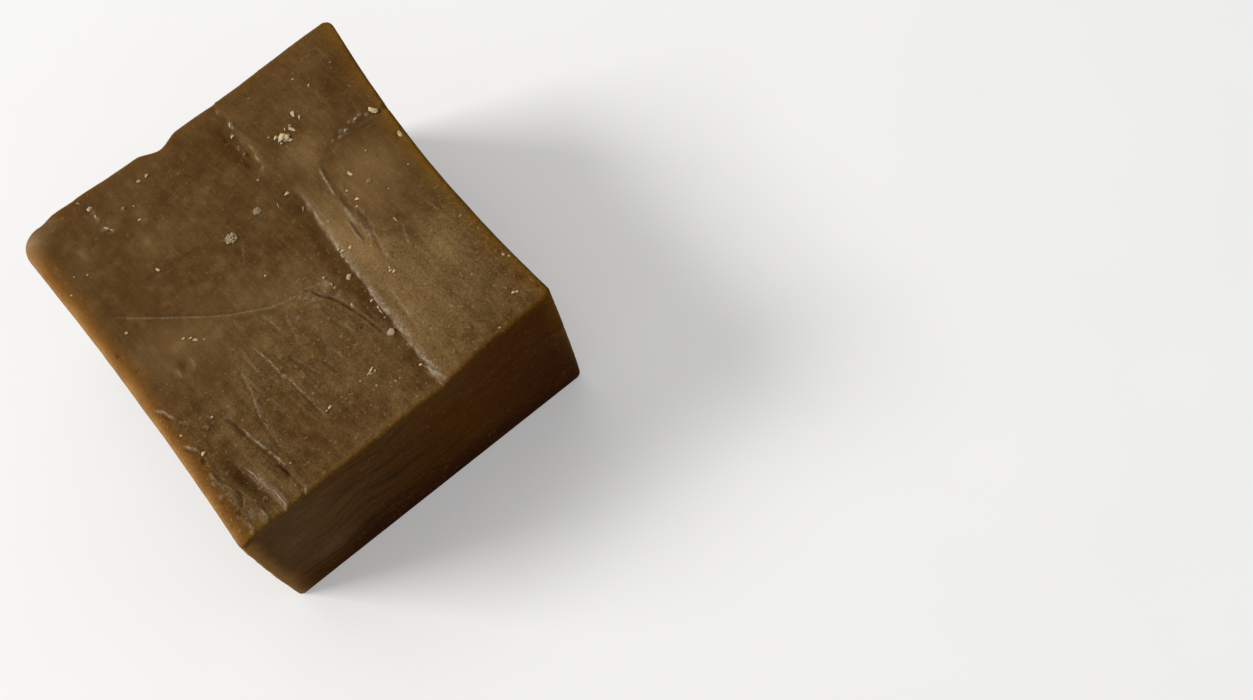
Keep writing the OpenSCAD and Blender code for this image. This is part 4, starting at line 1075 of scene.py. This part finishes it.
# The front face lies in shade, so its side colour, at full strength there and at less than half on the hidden
# sides, is partly painted shade; the foot's tone is painted shade, and the pale tone is chalk with painted
# highlights
tones = {"painted_glow": painted_glow, "bloom_and_sheen": carried(bloom_and_sheen) + front_bloom_and_sheen + side_bloom, "deep": carried(deep),
         "foot": painted_foot_shade, "pale": carried(pale), "painted_shade_and_dark": carried(painted_shade_and_dark),
         "side": side * mix(0.45, 1.0, on_front), "streaky": streaky, "paler_far_corner": paler_far_corner, "golden_painted_glow": golden_painted_glow,
         "grainy": carried(grainy) + 0.7 * side}
for name, values in tones.items():
    layer = bar_mesh.attributes.new(name, "FLOAT", "POINT")
    layer.data.foreach_set("value", np.clip(values, 0, 1).astype(np.float32))
print("tones:", {name: round(float(np.mean(values)), 3) for name, values in tones.items()})

# %% [markdown]
# ## The soap's material
#
# Traditional olive-oil soap, cut with a wire and air-dried: waxy, a little see-through at thin edges, with
# a soft sheen, which is mostly painted into its colour. Its index of refraction is about 1.45 and its
# surface is halfway rough. Close up it is mottled and full of tiny pale grains. Many patterns and colours
# lie over each other, so they are kept as tables that a loop works through. All pattern sizes are real
# millimetres, turned into the scale that a noise node wants.

# %% Patterns of the soap
soap_material, tree = new_material("air_dried_olive_oil_soap")
place = add(tree, "ShaderNodeTexCoord").outputs["Object"]
# Level streaks on the sides are drawn out along the cut, and a slow noise makes them waver up and down
WAVER_SIZE_MM, WAVER_SHIFT_MM, STREAK_SQUEEZE = 16, 12, 0.06
waver = add(tree, "ShaderNodeTexNoise", None,
            {"Vector": place, "Scale": 1 / (WAVER_SIZE_MM * MM), "Detail": 1.0})
shifted = add(tree, "ShaderNodeVectorMath", {"operation": "MULTIPLY_ADD"},
              {0: waver.outputs["Color"], 1: (0.0, 0.0, WAVER_SHIFT_MM * MM), 2: place})
level = add(tree, "ShaderNodeMapping", None,
            {"Vector": shifted.outputs[0], "Scale": (STREAK_SQUEEZE, STREAK_SQUEEZE, 1.0)})
# The drag marks on the top lie along the blade's way, and this many times as long as they are wide
DRAG_STRETCH = 10.0
along_blade = add(tree, "ShaderNodeMapping", {"vector_type": "TEXTURE"},
                  {"Vector": place, "Rotation": (0.0, 0.0, DRAG_TURN), "Scale": (1.0, DRAG_STRETCH, 1.0)})
# Each pattern: size in mm, detail, roughness, coordinates, the noise levels of none and all, least share
PATTERNS = {
    "cloud": (9, 3, 0.55, place, 0.35, 0.65, 0),
    "mottle": (2.4, 3, 0.55, place, 0.38, 0.66, 0),
    "patchy": (1.8, 3, 0.55, along_blade.outputs[0], 0.3, 0.65, 0.6),
    "fleck": (0.4, 4, 0.7, place, 0.3, 0.7, 0),
    "comb": (0.6, 3, 0.6, along_blade.outputs[0], 0.45, 0.75, 0),
    "streak": (1.7, 4, 0.7, level.outputs[0], 0.48, 0.64, 0),
    "band": (4, 2, 0.5, level.outputs[0], 0.35, 0.65, 0),
    "crumbly": (0.45, 3, 0.7, place, 0.4, 0.58, 0.25),
    "speck": (0.62, 1, 0.5, place, 0.66, 0.75, 0)}
amounts = {"whole": 1.0}
for name, (size_mm, detail, rough_share, where, low, high, least) in PATTERNS.items():
    noise = add(tree, "ShaderNodeTexNoise", None,
                {"Vector": where, "Scale": 1 / (size_mm * MM), "Detail": detail, "Roughness": rough_share})
    spread = add(tree, "ShaderNodeMapRange", None,
                 {"Value": noise.outputs["Fac"], "From Min": low, "From Max": high, "To Min": least})
    amounts[name] = spread.outputs[0]
for name in tones:
    amounts[name] = add(tree, "ShaderNodeAttribute", {"attribute_name": name}).outputs["Fac"]
print("patterns and tones:", list(amounts))

# %% [markdown]
# ## Layers of colour
#
# A painter would glaze one brown over another, and so does this loop: each layer mixes its colour in where
# two amounts, multiplied, ask for it. Several layers paint light and shade: the sheen in the bloom, the
# shade on the front face, at the foot, in hollows and in cracks, the highlights among the chalk, and the
# glow of the edges. The order matters, from the broad clouds to the chalk and the specks that lie on top.
# The painted glow of the edges has a ramp of its own, because light that has gone through more soap is
# redder.

# %% Colours of the soap
# The edge's painted glow runs from a reddish brown to a warm gold
amber = add(tree, "ShaderNodeValToRGB", None, {"Fac": amounts["painted_glow"]})
stops = amber.color_ramp.elements
AMBERS = ((0, "674520"), (0.34, "6E491E"), (0.64, "8D6130"), (0.88, "A47A45"), (1, "B3803F"))
while len(stops) < len(AMBERS):
    stops.new(0.5)
for stop, (position, colour) in zip(stops, AMBERS):
    stop.position = position
    stop.color = linear(colour)
edge = add(tree, "ShaderNodeMapRange", None, {"Value": amounts["painted_glow"], "From Min": 0.02, "From Max": 0.3})
amounts["edge"] = edge.outputs[0]
# Each layer: two amounts that are multiplied, its strength and its colour
LAYERS = [
    ("cloud", "whole", 1.0, linear("583E20")),
    ("mottle", "grainy", 1.0, linear("6E522E")),
    ("comb", "grainy", 0.45, linear("86693F")),
    # Partly painted shade: the sides' own colour, strongest on the front face, which lies in shade
    ("side", "whole", 1.0, linear("663B0A")),
    # Painted shade towards the floor
    ("foot", "whole", 1.0, linear("481F02")),
    ("band", "streaky", 0.4, linear("4A2B0C")),
    ("streak", "streaky", 0.9, linear("251404")),
    # Bloom with painted sheen
    ("bloom_and_sheen", "patchy", 1.0, linear("94764C")),
    # A deeper brown with painted shade in hollows
    ("deep", "whole", 0.75, linear("533615")),
    # Painted glow of the edges
    ("edge", "whole", 1.0, amber.outputs[0]),
    # Painted golden glow
    ("golden_painted_glow", "whole", 0.75, linear("80560F")),
    ("paler_far_corner", "whole", 0.8, linear("9C8464")),
    # Chalk with painted highlights
    ("pale", "crumbly", 1.0, linear("CDBFA4")),
    # Mostly painted shade
    ("painted_shade_and_dark", "whole", 0.8, linear("3A2107")),
    ("speck", "grainy", 0.5, linear("A98C58"))]
waxy = linear("53391B")
for first, second, strength, colour in LAYERS:
    both = add(tree, "ShaderNodeMath", {"operation": "MULTIPLY"}, {0: amounts[first], 1: amounts[second]})
    part = add(tree, "ShaderNodeMath", {"operation": "MULTIPLY"}, {0: both.outputs[0], 1: strength})
    layered = add(tree, "ShaderNodeMix", {"data_type": "RGBA"},
                  {SHARE: part.outputs[0], AT_NONE: waxy, AT_FULL: colour})
    waxy = layered.outputs[MIXED]
# Fine flecks, darker and lighter, drawn about twice as coarse as the real ones so that they show
greys = add(tree, "ShaderNodeMix", {"data_type": "RGBA"},
            {SHARE: amounts["fleck"], AT_NONE: linear("808080"), AT_FULL: linear("CACACA")})
fleck_part = add(tree, "ShaderNodeMath", {"operation": "MULTIPLY"}, {0: amounts["grainy"], 1: 0.85})
flecked = add(tree, "ShaderNodeMix", {"data_type": "RGBA", "blend_type": "OVERLAY"},
              {SHARE: fleck_part.outputs[0], AT_NONE: waxy, AT_FULL: greys.outputs[MIXED]})
print("colour layers:", len(LAYERS))

# %% [markdown]
# ## Fine relief and shine
#
# Relief finer than the mesh is only seen as a change of shine, so it is a bump, from the same patterns as
# the colour. That keeps each streak or fleck in the place where it is raised. A little light enters the
# soap and comes out again nearby, which softens the small shadows.

# %% Relief and shader of the soap
# Relief that is finer than the mesh: two amounts that are multiplied, and the height in mm
FINE_RELIEF = [("patchy", "grainy", 0.1), ("fleck", "grainy", 0.07), ("comb", "grainy", 0.03),
               ("streak", "streaky", -0.14), ("mottle", "whole", 0.03), ("fleck", "whole", 0.015),
               ("crumbly", "pale", 0.12)]
lift = 0.0
for first, second, height in FINE_RELIEF:
    both = add(tree, "ShaderNodeMath", {"operation": "MULTIPLY"}, {0: amounts[first], 1: amounts[second]})
    raised = add(tree, "ShaderNodeMath", {"operation": "MULTIPLY_ADD"},
                 {0: both.outputs[0], 1: height, 2: lift})
    lift = raised.outputs[0]
bump = add(tree, "ShaderNodeBump", None, {"Height": lift, "Distance": MM, "Strength": 0.9})
shine = add(tree, "ShaderNodeMapRange", None, {"Value": amounts["mottle"], "To Min": 0.48, "To Max": 0.62})
# The dry skin scatters most of its mirror light
soap = add(tree, "ShaderNodeBsdfPrincipled", None, {
    "Base Color": flecked.outputs[MIXED], "Roughness": shine.outputs[0], "IOR": 1.45,
    "Specular IOR Level": 0.01, "Normal": bump.outputs[0], "Subsurface Weight": 0.12,
    "Subsurface Radius": (1.0, 0.45, 0.15), "Subsurface Scale": 1.5 * MM})
add(tree, "ShaderNodeOutputMaterial", None, {"Surface": soap.outputs[0]})
bar_mesh.materials.append(soap_material)
print("soap material:", len(tree.nodes), "nodes")

# %% [markdown]
# ## Material of the crumbs
#
# A crumb has dried right through, so it is paler, drier and duller than the bar, with a yellow cast. The
# patches of fine granules and the slivers are greyer, and the smallest grains are darker. Each crumb
# carries its kind as a number, which picks the colour.

# %% Crumb material
crumb_material, tree = new_material("dried_soap_crumb")
place = add(tree, "ShaderNodeTexCoord").outputs["Object"]
CAST_PATCH_MM, PORE_MM, CHALK_DEPTH_MM = 3.5, 0.5, 0.06
broad = add(tree, "ShaderNodeTexNoise", None,
            {"Vector": place, "Scale": 1 / (CAST_PATCH_MM * MM), "Detail": 1.0})
fine = add(tree, "ShaderNodeTexNoise", None, {"Vector": place, "Scale": 1 / (PORE_MM * MM), "Detail": 2.0})
by_place = add(tree, "ShaderNodeMapRange", None,
               {"Value": broad.outputs["Fac"], "From Min": 0.4, "From Max": 0.6})
in_pores = add(tree, "ShaderNodeMapRange", None,
               {"Value": fine.outputs["Fac"], "From Min": 0.45, "From Max": 0.75})
kind = add(tree, "ShaderNodeAttribute", {"attribute_name": "kind"})
# The kinds are numbered: crumb 0, flake 1, granules 2, sliver 3 and scattered grain 4
FIRST_GREY_KIND, GRAIN_KIND = 2, 4
cast = linear("D2BA8A")
for amount, colour in ((by_place, "C6B494"), (in_pores, "8F7043")):
    tinted = add(tree, "ShaderNodeMix", {"data_type": "RGBA"},
                 {SHARE: amount.outputs[0], AT_NONE: cast, AT_FULL: linear(colour)})
    cast = tinted.outputs[MIXED]
for first_kind, colour in ((FIRST_GREY_KIND, "A59170"), (GRAIN_KIND, "8C7650")):
    later = add(tree, "ShaderNodeMath", {"operation": "GREATER_THAN"},
                {0: kind.outputs["Fac"], 1: first_kind - 0.5})
    tinted = add(tree, "ShaderNodeMix", {"data_type": "RGBA"},
                 {SHARE: later.outputs[0], AT_NONE: cast, AT_FULL: linear(colour)})
    cast = tinted.outputs[MIXED]
chalk = add(tree, "ShaderNodeBump", None,
            {"Height": fine.outputs["Fac"], "Distance": CHALK_DEPTH_MM * MM, "Strength": 0.6})
crumb_shader = add(tree, "ShaderNodeBsdfPrincipled", None, {
    "Base Color": cast, "Roughness": 0.7, "IOR": 1.45, "Specular IOR Level": 0.2, "Normal": chalk.outputs[0]})
add(tree, "ShaderNodeOutputMaterial", None, {"Surface": crumb_shader.outputs[0]})
print("crumb material:", len(tree.nodes), "nodes")

# %% [markdown]
# ## Shapes of the crumbs
#
# A hundred little pieces are a case for Geometry Nodes: they set one of four shapes on each place of the
# tables. Four are enough, since each piece has its own turn and proportions. Crumbs, flakes and slivers
# break with sharp corners, so each of their shapes is the hull round a few scattered points. The granules
# are a tight heap of little balls.

# %% Trees to meshes
def new_tree(name, sizes):
    """A geometry tree with a geometry in and out, and a named input for each size: (name, kind, value)."""
    made = bpy.data.node_groups.new(name, "GeometryNodeTree")
    made.interface.new_socket("Geometry", in_out="INPUT", socket_type="NodeSocketGeometry")
    made.interface.new_socket("Geometry", in_out="OUTPUT", socket_type="NodeSocketGeometry")
    for label, kind, value in sizes:
        socket = made.interface.new_socket(label, in_out="INPUT", socket_type=kind)
        socket.default_value = value
    return made


def shown_as_mesh(live, tree, values, name):
    """Runs a tree on an object with the given inputs, and returns its result as a plain mesh object."""
    modifier = live.modifiers.new("tree", "NODES")
    modifier.node_group = tree
    for item in tree.interface.items_tree:
        if item.in_out == "INPUT" and item.name in values:
            modifier[item.identifier] = values[item.name]
    bpy.context.view_layer.update()
    graph = bpy.context.evaluated_depsgraph_get()
    made = bpy.data.meshes.new_from_object(live.evaluated_get(graph), depsgraph=graph)
    made.name = name
    result = bpy.data.objects.new(name, made)
    scene.collection.objects.link(result)
    live.modifiers.remove(modifier)
    bpy.data.objects.remove(live)
    return result


print("helpers for geometry trees:", new_tree.__name__, "and", shown_as_mesh.__name__)

# %% Places of the crumbs
# The share of its height that a crumb has sunk into the soap
CRUMB_SINK = 0.28
nearest = [int(np.argmin((x_seen - x) ** 2 + (y_seen - y) ** 2)) for x, y in table[:, :2]]
crumb_at = top_points[nearest]
crumb_at[:, 2] += table[:, 4] * (0.5 - CRUMB_SINK)
places = bpy.data.meshes.new("crumb_places")
places.from_pydata((crumb_at * MM).tolist(), [], [])
places.attributes.new("size", "FLOAT_VECTOR", "POINT").data.foreach_set(
    "vector", (table[:, 2:5] * MM).astype(np.float32).ravel())
places.attributes.new("turn", "FLOAT", "POINT").data.foreach_set("value",
                                                                 np.radians(table[:, 5]).astype(np.float32))
places.attributes.new("kind", "INT", "POINT").data.foreach_set("value", table[:, 6].astype(np.int32))
crumbs_live = bpy.data.objects.new("crumbs_live", places)
scene.collection.objects.link(crumbs_live)
print("crumbs stand on the top at, mm:", [round(float(end), 1) for end in (crumb_at[:, 2].min(),
                                                                           crumb_at[:, 2].max())])

# %% [markdown]
# ## The tree that sets the crumbs down
#
# The tree makes its four shapes, then puts one on each place by the place's kind, turned and scaled by the
# numbers of its row. Nothing is random but the shapes themselves, and their seeds are fixed, so each run
# gives the same crumbs.

# %% Crumb tree
# The numbered sockets of a random number: its least value, its greatest value and the number itself
LEAST, MOST, NUMBER = 2, 3, 1
crumb_tree = new_tree("crumbs", [("Scatter", "NodeSocketFloat", 0.2), ("Granule", "NodeSocketFloat", 0.2)])
given = add(crumb_tree, "NodeGroupInput")


def broken_piece(seed, strength):
    """The hull round the corners of a ball of diameter 1, each moved by up to a share of the scatter."""
    ball = add(crumb_tree, "GeometryNodeMeshIcoSphere", None, {"Radius": 0.45, "Subdivisions": 1})
    jump = add(crumb_tree, "FunctionNodeRandomValue", {"data_type": "FLOAT_VECTOR"},
               {0: (-1.0, -1.0, -1.0), 1: (1.0, 1.0, 1.0), "Seed": seed})
    reach = add(crumb_tree, "ShaderNodeMath", {"operation": "MULTIPLY"},
                {0: given.outputs["Scatter"], 1: strength})
    shift = add(crumb_tree, "ShaderNodeVectorMath", {"operation": "SCALE"},
                {0: jump.outputs[0], "Scale": reach.outputs[0]})
    moved = add(crumb_tree, "GeometryNodeSetPosition", None,
                {"Geometry": ball.outputs[0], "Offset": shift.outputs[0]})
    hull = add(crumb_tree, "GeometryNodeConvexHull", None, {"Geometry": moved.outputs[0]})
    facets = add(crumb_tree, "GeometryNodeSetShadeSmooth", None,
                 {"Geometry": hull.outputs[0], "Shade Smooth": False})
    return add(crumb_tree, "GeometryNodeGeometryToInstance", None, {"Geometry": facets.outputs[0]}).outputs[0]


def granules():
    """Little balls packed on a disc of diameter 1."""
    disc = add(crumb_tree, "GeometryNodeMeshCircle", {"fill_type": "NGON"}, {"Vertices": 14, "Radius": 0.42})
    spread = add(crumb_tree, "GeometryNodeDistributePointsOnFaces", {"distribute_method": "POISSON"},
                 {"Mesh": disc.outputs[0], "Distance Min": 0.11, "Density Max": 300.0, "Seed": 7})
    ball = add(crumb_tree, "GeometryNodeMeshIcoSphere", None, {"Radius": 0.5, "Subdivisions": 1})
    vary = add(crumb_tree, "FunctionNodeRandomValue", {"data_type": "FLOAT"},
               {LEAST: 0.6, MOST: 1.35, "Seed": 3})
    wide = add(crumb_tree, "ShaderNodeMath", {"operation": "MULTIPLY"},
               {0: vary.outputs[NUMBER], 1: given.outputs["Granule"]})
    size = add(crumb_tree, "ShaderNodeCombineXYZ", None, {"X": wide.outputs[0], "Y": wide.outputs[0],
                                                          "Z": 0.9})
    heap = add(crumb_tree, "GeometryNodeInstanceOnPoints", None,
               {"Points": spread.outputs[0], "Instance": ball.outputs[0], "Scale": size.outputs[0]})
    real = add(crumb_tree, "GeometryNodeRealizeInstances", None, {"Geometry": heap.outputs[0]})
    return add(crumb_tree, "GeometryNodeGeometryToInstance", None, {"Geometry": real.outputs[0]}).outputs[0]


shapes = add(crumb_tree, "GeometryNodeJoinGeometry")
for shape in reversed([broken_piece(1, 1.0), broken_piece(5, 0.8), granules(), broken_piece(9, 0.4)]):
    crumb_tree.links.new(shape, shapes.inputs[0])
turn = add(crumb_tree, "GeometryNodeInputNamedAttribute", {"data_type": "FLOAT"}, {"Name": "turn"})
kind = add(crumb_tree, "GeometryNodeInputNamedAttribute", {"data_type": "INT"}, {"Name": "kind"})
size = add(crumb_tree, "GeometryNodeInputNamedAttribute", {"data_type": "FLOAT_VECTOR"}, {"Name": "size"})
heading = add(crumb_tree, "ShaderNodeCombineXYZ", None, {"Z": turn.outputs[0]})
set_down = add(crumb_tree, "GeometryNodeInstanceOnPoints", None, {
    "Points": given.outputs["Geometry"], "Instance": shapes.outputs[0], "Pick Instance": True,
    "Instance Index": kind.outputs[0], "Rotation": heading.outputs[0], "Scale": size.outputs[0]})
real = add(crumb_tree, "GeometryNodeRealizeInstances", None, {"Geometry": set_down.outputs[0]})
coated = add(crumb_tree, "GeometryNodeSetMaterial", None, {"Geometry": real.outputs[0],
                                                           "Material": crumb_material})
add(crumb_tree, "NodeGroupOutput", None, {"Geometry": coated.outputs[0]})
crumbs = shown_as_mesh(crumbs_live, crumb_tree, {"Scatter": 0.2, "Granule": 0.2}, "crumbs")
print("crumbs:", len(crumbs.data.vertices), "points,", len(crumbs.data.polygons), "faces")

# %% [markdown]
# ## Grains
#
# Grains a few tenths of a millimetre long are scattered over the bar. Here their places don't matter, so
# the tree strews them over the faces of the bar's own mesh with a fixed seed, more on the top than on the
# sides.

# %% Grains tree
# They lie in loose drifts, so the share of the full number follows a slow noise
drifts = np.clip(0.25 + 1.3 * rough(bar_points, 9, 60), 0.05, 1)
grain_share = np.clip(tones["grainy"], 0, 1) * np.where(on_top > 0.5, 1.0, 0.15) * (z_mm > 1.5) * drifts
bar_mesh.attributes.new("grain_share", "FLOAT", "POINT").data.foreach_set("value",
                                                                          grain_share.astype(np.float32))
grain_tree = new_tree("grains", [("Per square metre", "NodeSocketFloat", 1e5),
                                 ("Gap", "NodeSocketFloat", 0.001), ("Smallest", "NodeSocketFloat", 0.0001),
                                 ("Largest", "NodeSocketFloat", 0.0003)])
given = add(grain_tree, "NodeGroupInput")
shared = add(grain_tree, "GeometryNodeInputNamedAttribute", {"data_type": "FLOAT"}, {"Name": "grain_share"})
strewn = add(grain_tree, "GeometryNodeDistributePointsOnFaces", {"distribute_method": "POISSON"},
             {"Mesh": given.outputs["Geometry"], "Distance Min": given.outputs["Gap"],
              "Density Max": given.outputs["Per square metre"], "Density Factor": shared.outputs[0],
              "Seed": 11})
ball = add(grain_tree, "GeometryNodeMeshIcoSphere", None, {"Radius": 0.5, "Subdivisions": 1})
width = add(grain_tree, "FunctionNodeRandomValue", {"data_type": "FLOAT"},
            {LEAST: given.outputs["Smallest"], MOST: given.outputs["Largest"], "Seed": 5})
length = add(grain_tree, "FunctionNodeRandomValue", {"data_type": "FLOAT"},
             {LEAST: 1.0, MOST: 2.4, "Seed": 6})
long_side = add(grain_tree, "ShaderNodeMath", {"operation": "MULTIPLY"},
                {0: width.outputs[NUMBER], 1: length.outputs[NUMBER]})
size = add(grain_tree, "ShaderNodeCombineXYZ", None,
           {"X": long_side.outputs[0], "Y": width.outputs[NUMBER], "Z": width.outputs[NUMBER]})
# A full turn in radians
FULL_TURN = 6.28
spin = add(grain_tree, "FunctionNodeRandomValue", {"data_type": "FLOAT"},
           {LEAST: 0.0, MOST: FULL_TURN, "Seed": 8})
about = add(grain_tree, "ShaderNodeCombineXYZ", None, {"Z": spin.outputs[NUMBER]})
strew = add(grain_tree, "GeometryNodeInstanceOnPoints", None, {
    "Points": strewn.outputs["Points"], "Instance": ball.outputs[0], "Rotation": about.outputs[0],
    "Scale": size.outputs[0]})
real = add(grain_tree, "GeometryNodeRealizeInstances", None, {"Geometry": strew.outputs[0]})
greyish = add(grain_tree, "GeometryNodeStoreNamedAttribute", {"data_type": "INT", "domain": "POINT"},
              {"Geometry": real.outputs[0], "Name": "kind", "Value": GRAIN_KIND})
coated = add(grain_tree, "GeometryNodeSetMaterial", None, {"Geometry": greyish.outputs[0],
                                                           "Material": crumb_material})
add(grain_tree, "NodeGroupOutput", None, {"Geometry": coated.outputs[0]})
grains_live = bpy.data.objects.new("grains_live", bar_mesh.copy())
scene.collection.objects.link(grains_live)
GRAINS_PER_CM2, CM2_PER_M2, GRAIN_GAP_MM, FACES_A_GRAIN = 11.0, 10000, 0.6, 20
grains = shown_as_mesh(grains_live, grain_tree, {
    "Per square metre": GRAINS_PER_CM2 * CM2_PER_M2, "Gap": GRAIN_GAP_MM * MM, "Smallest": 0.08 * MM,
    "Largest": 0.13 * MM}, "grains")
bar_mesh.attributes.remove(bar_mesh.attributes["grain_share"])
print("grains:", len(grains.data.polygons) // FACES_A_GRAIN, "with", len(grains.data.polygons), "faces")

# %% [markdown]
# ## Handing over
#
# Each piece is tied to the model's one body. The dense bar stands for the plain solid, which stays hidden
# and is still what other objects touch.

# %% Hand over
for piece in (bar, crumbs, grains):
    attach(piece, "root")
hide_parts("soap_bar")
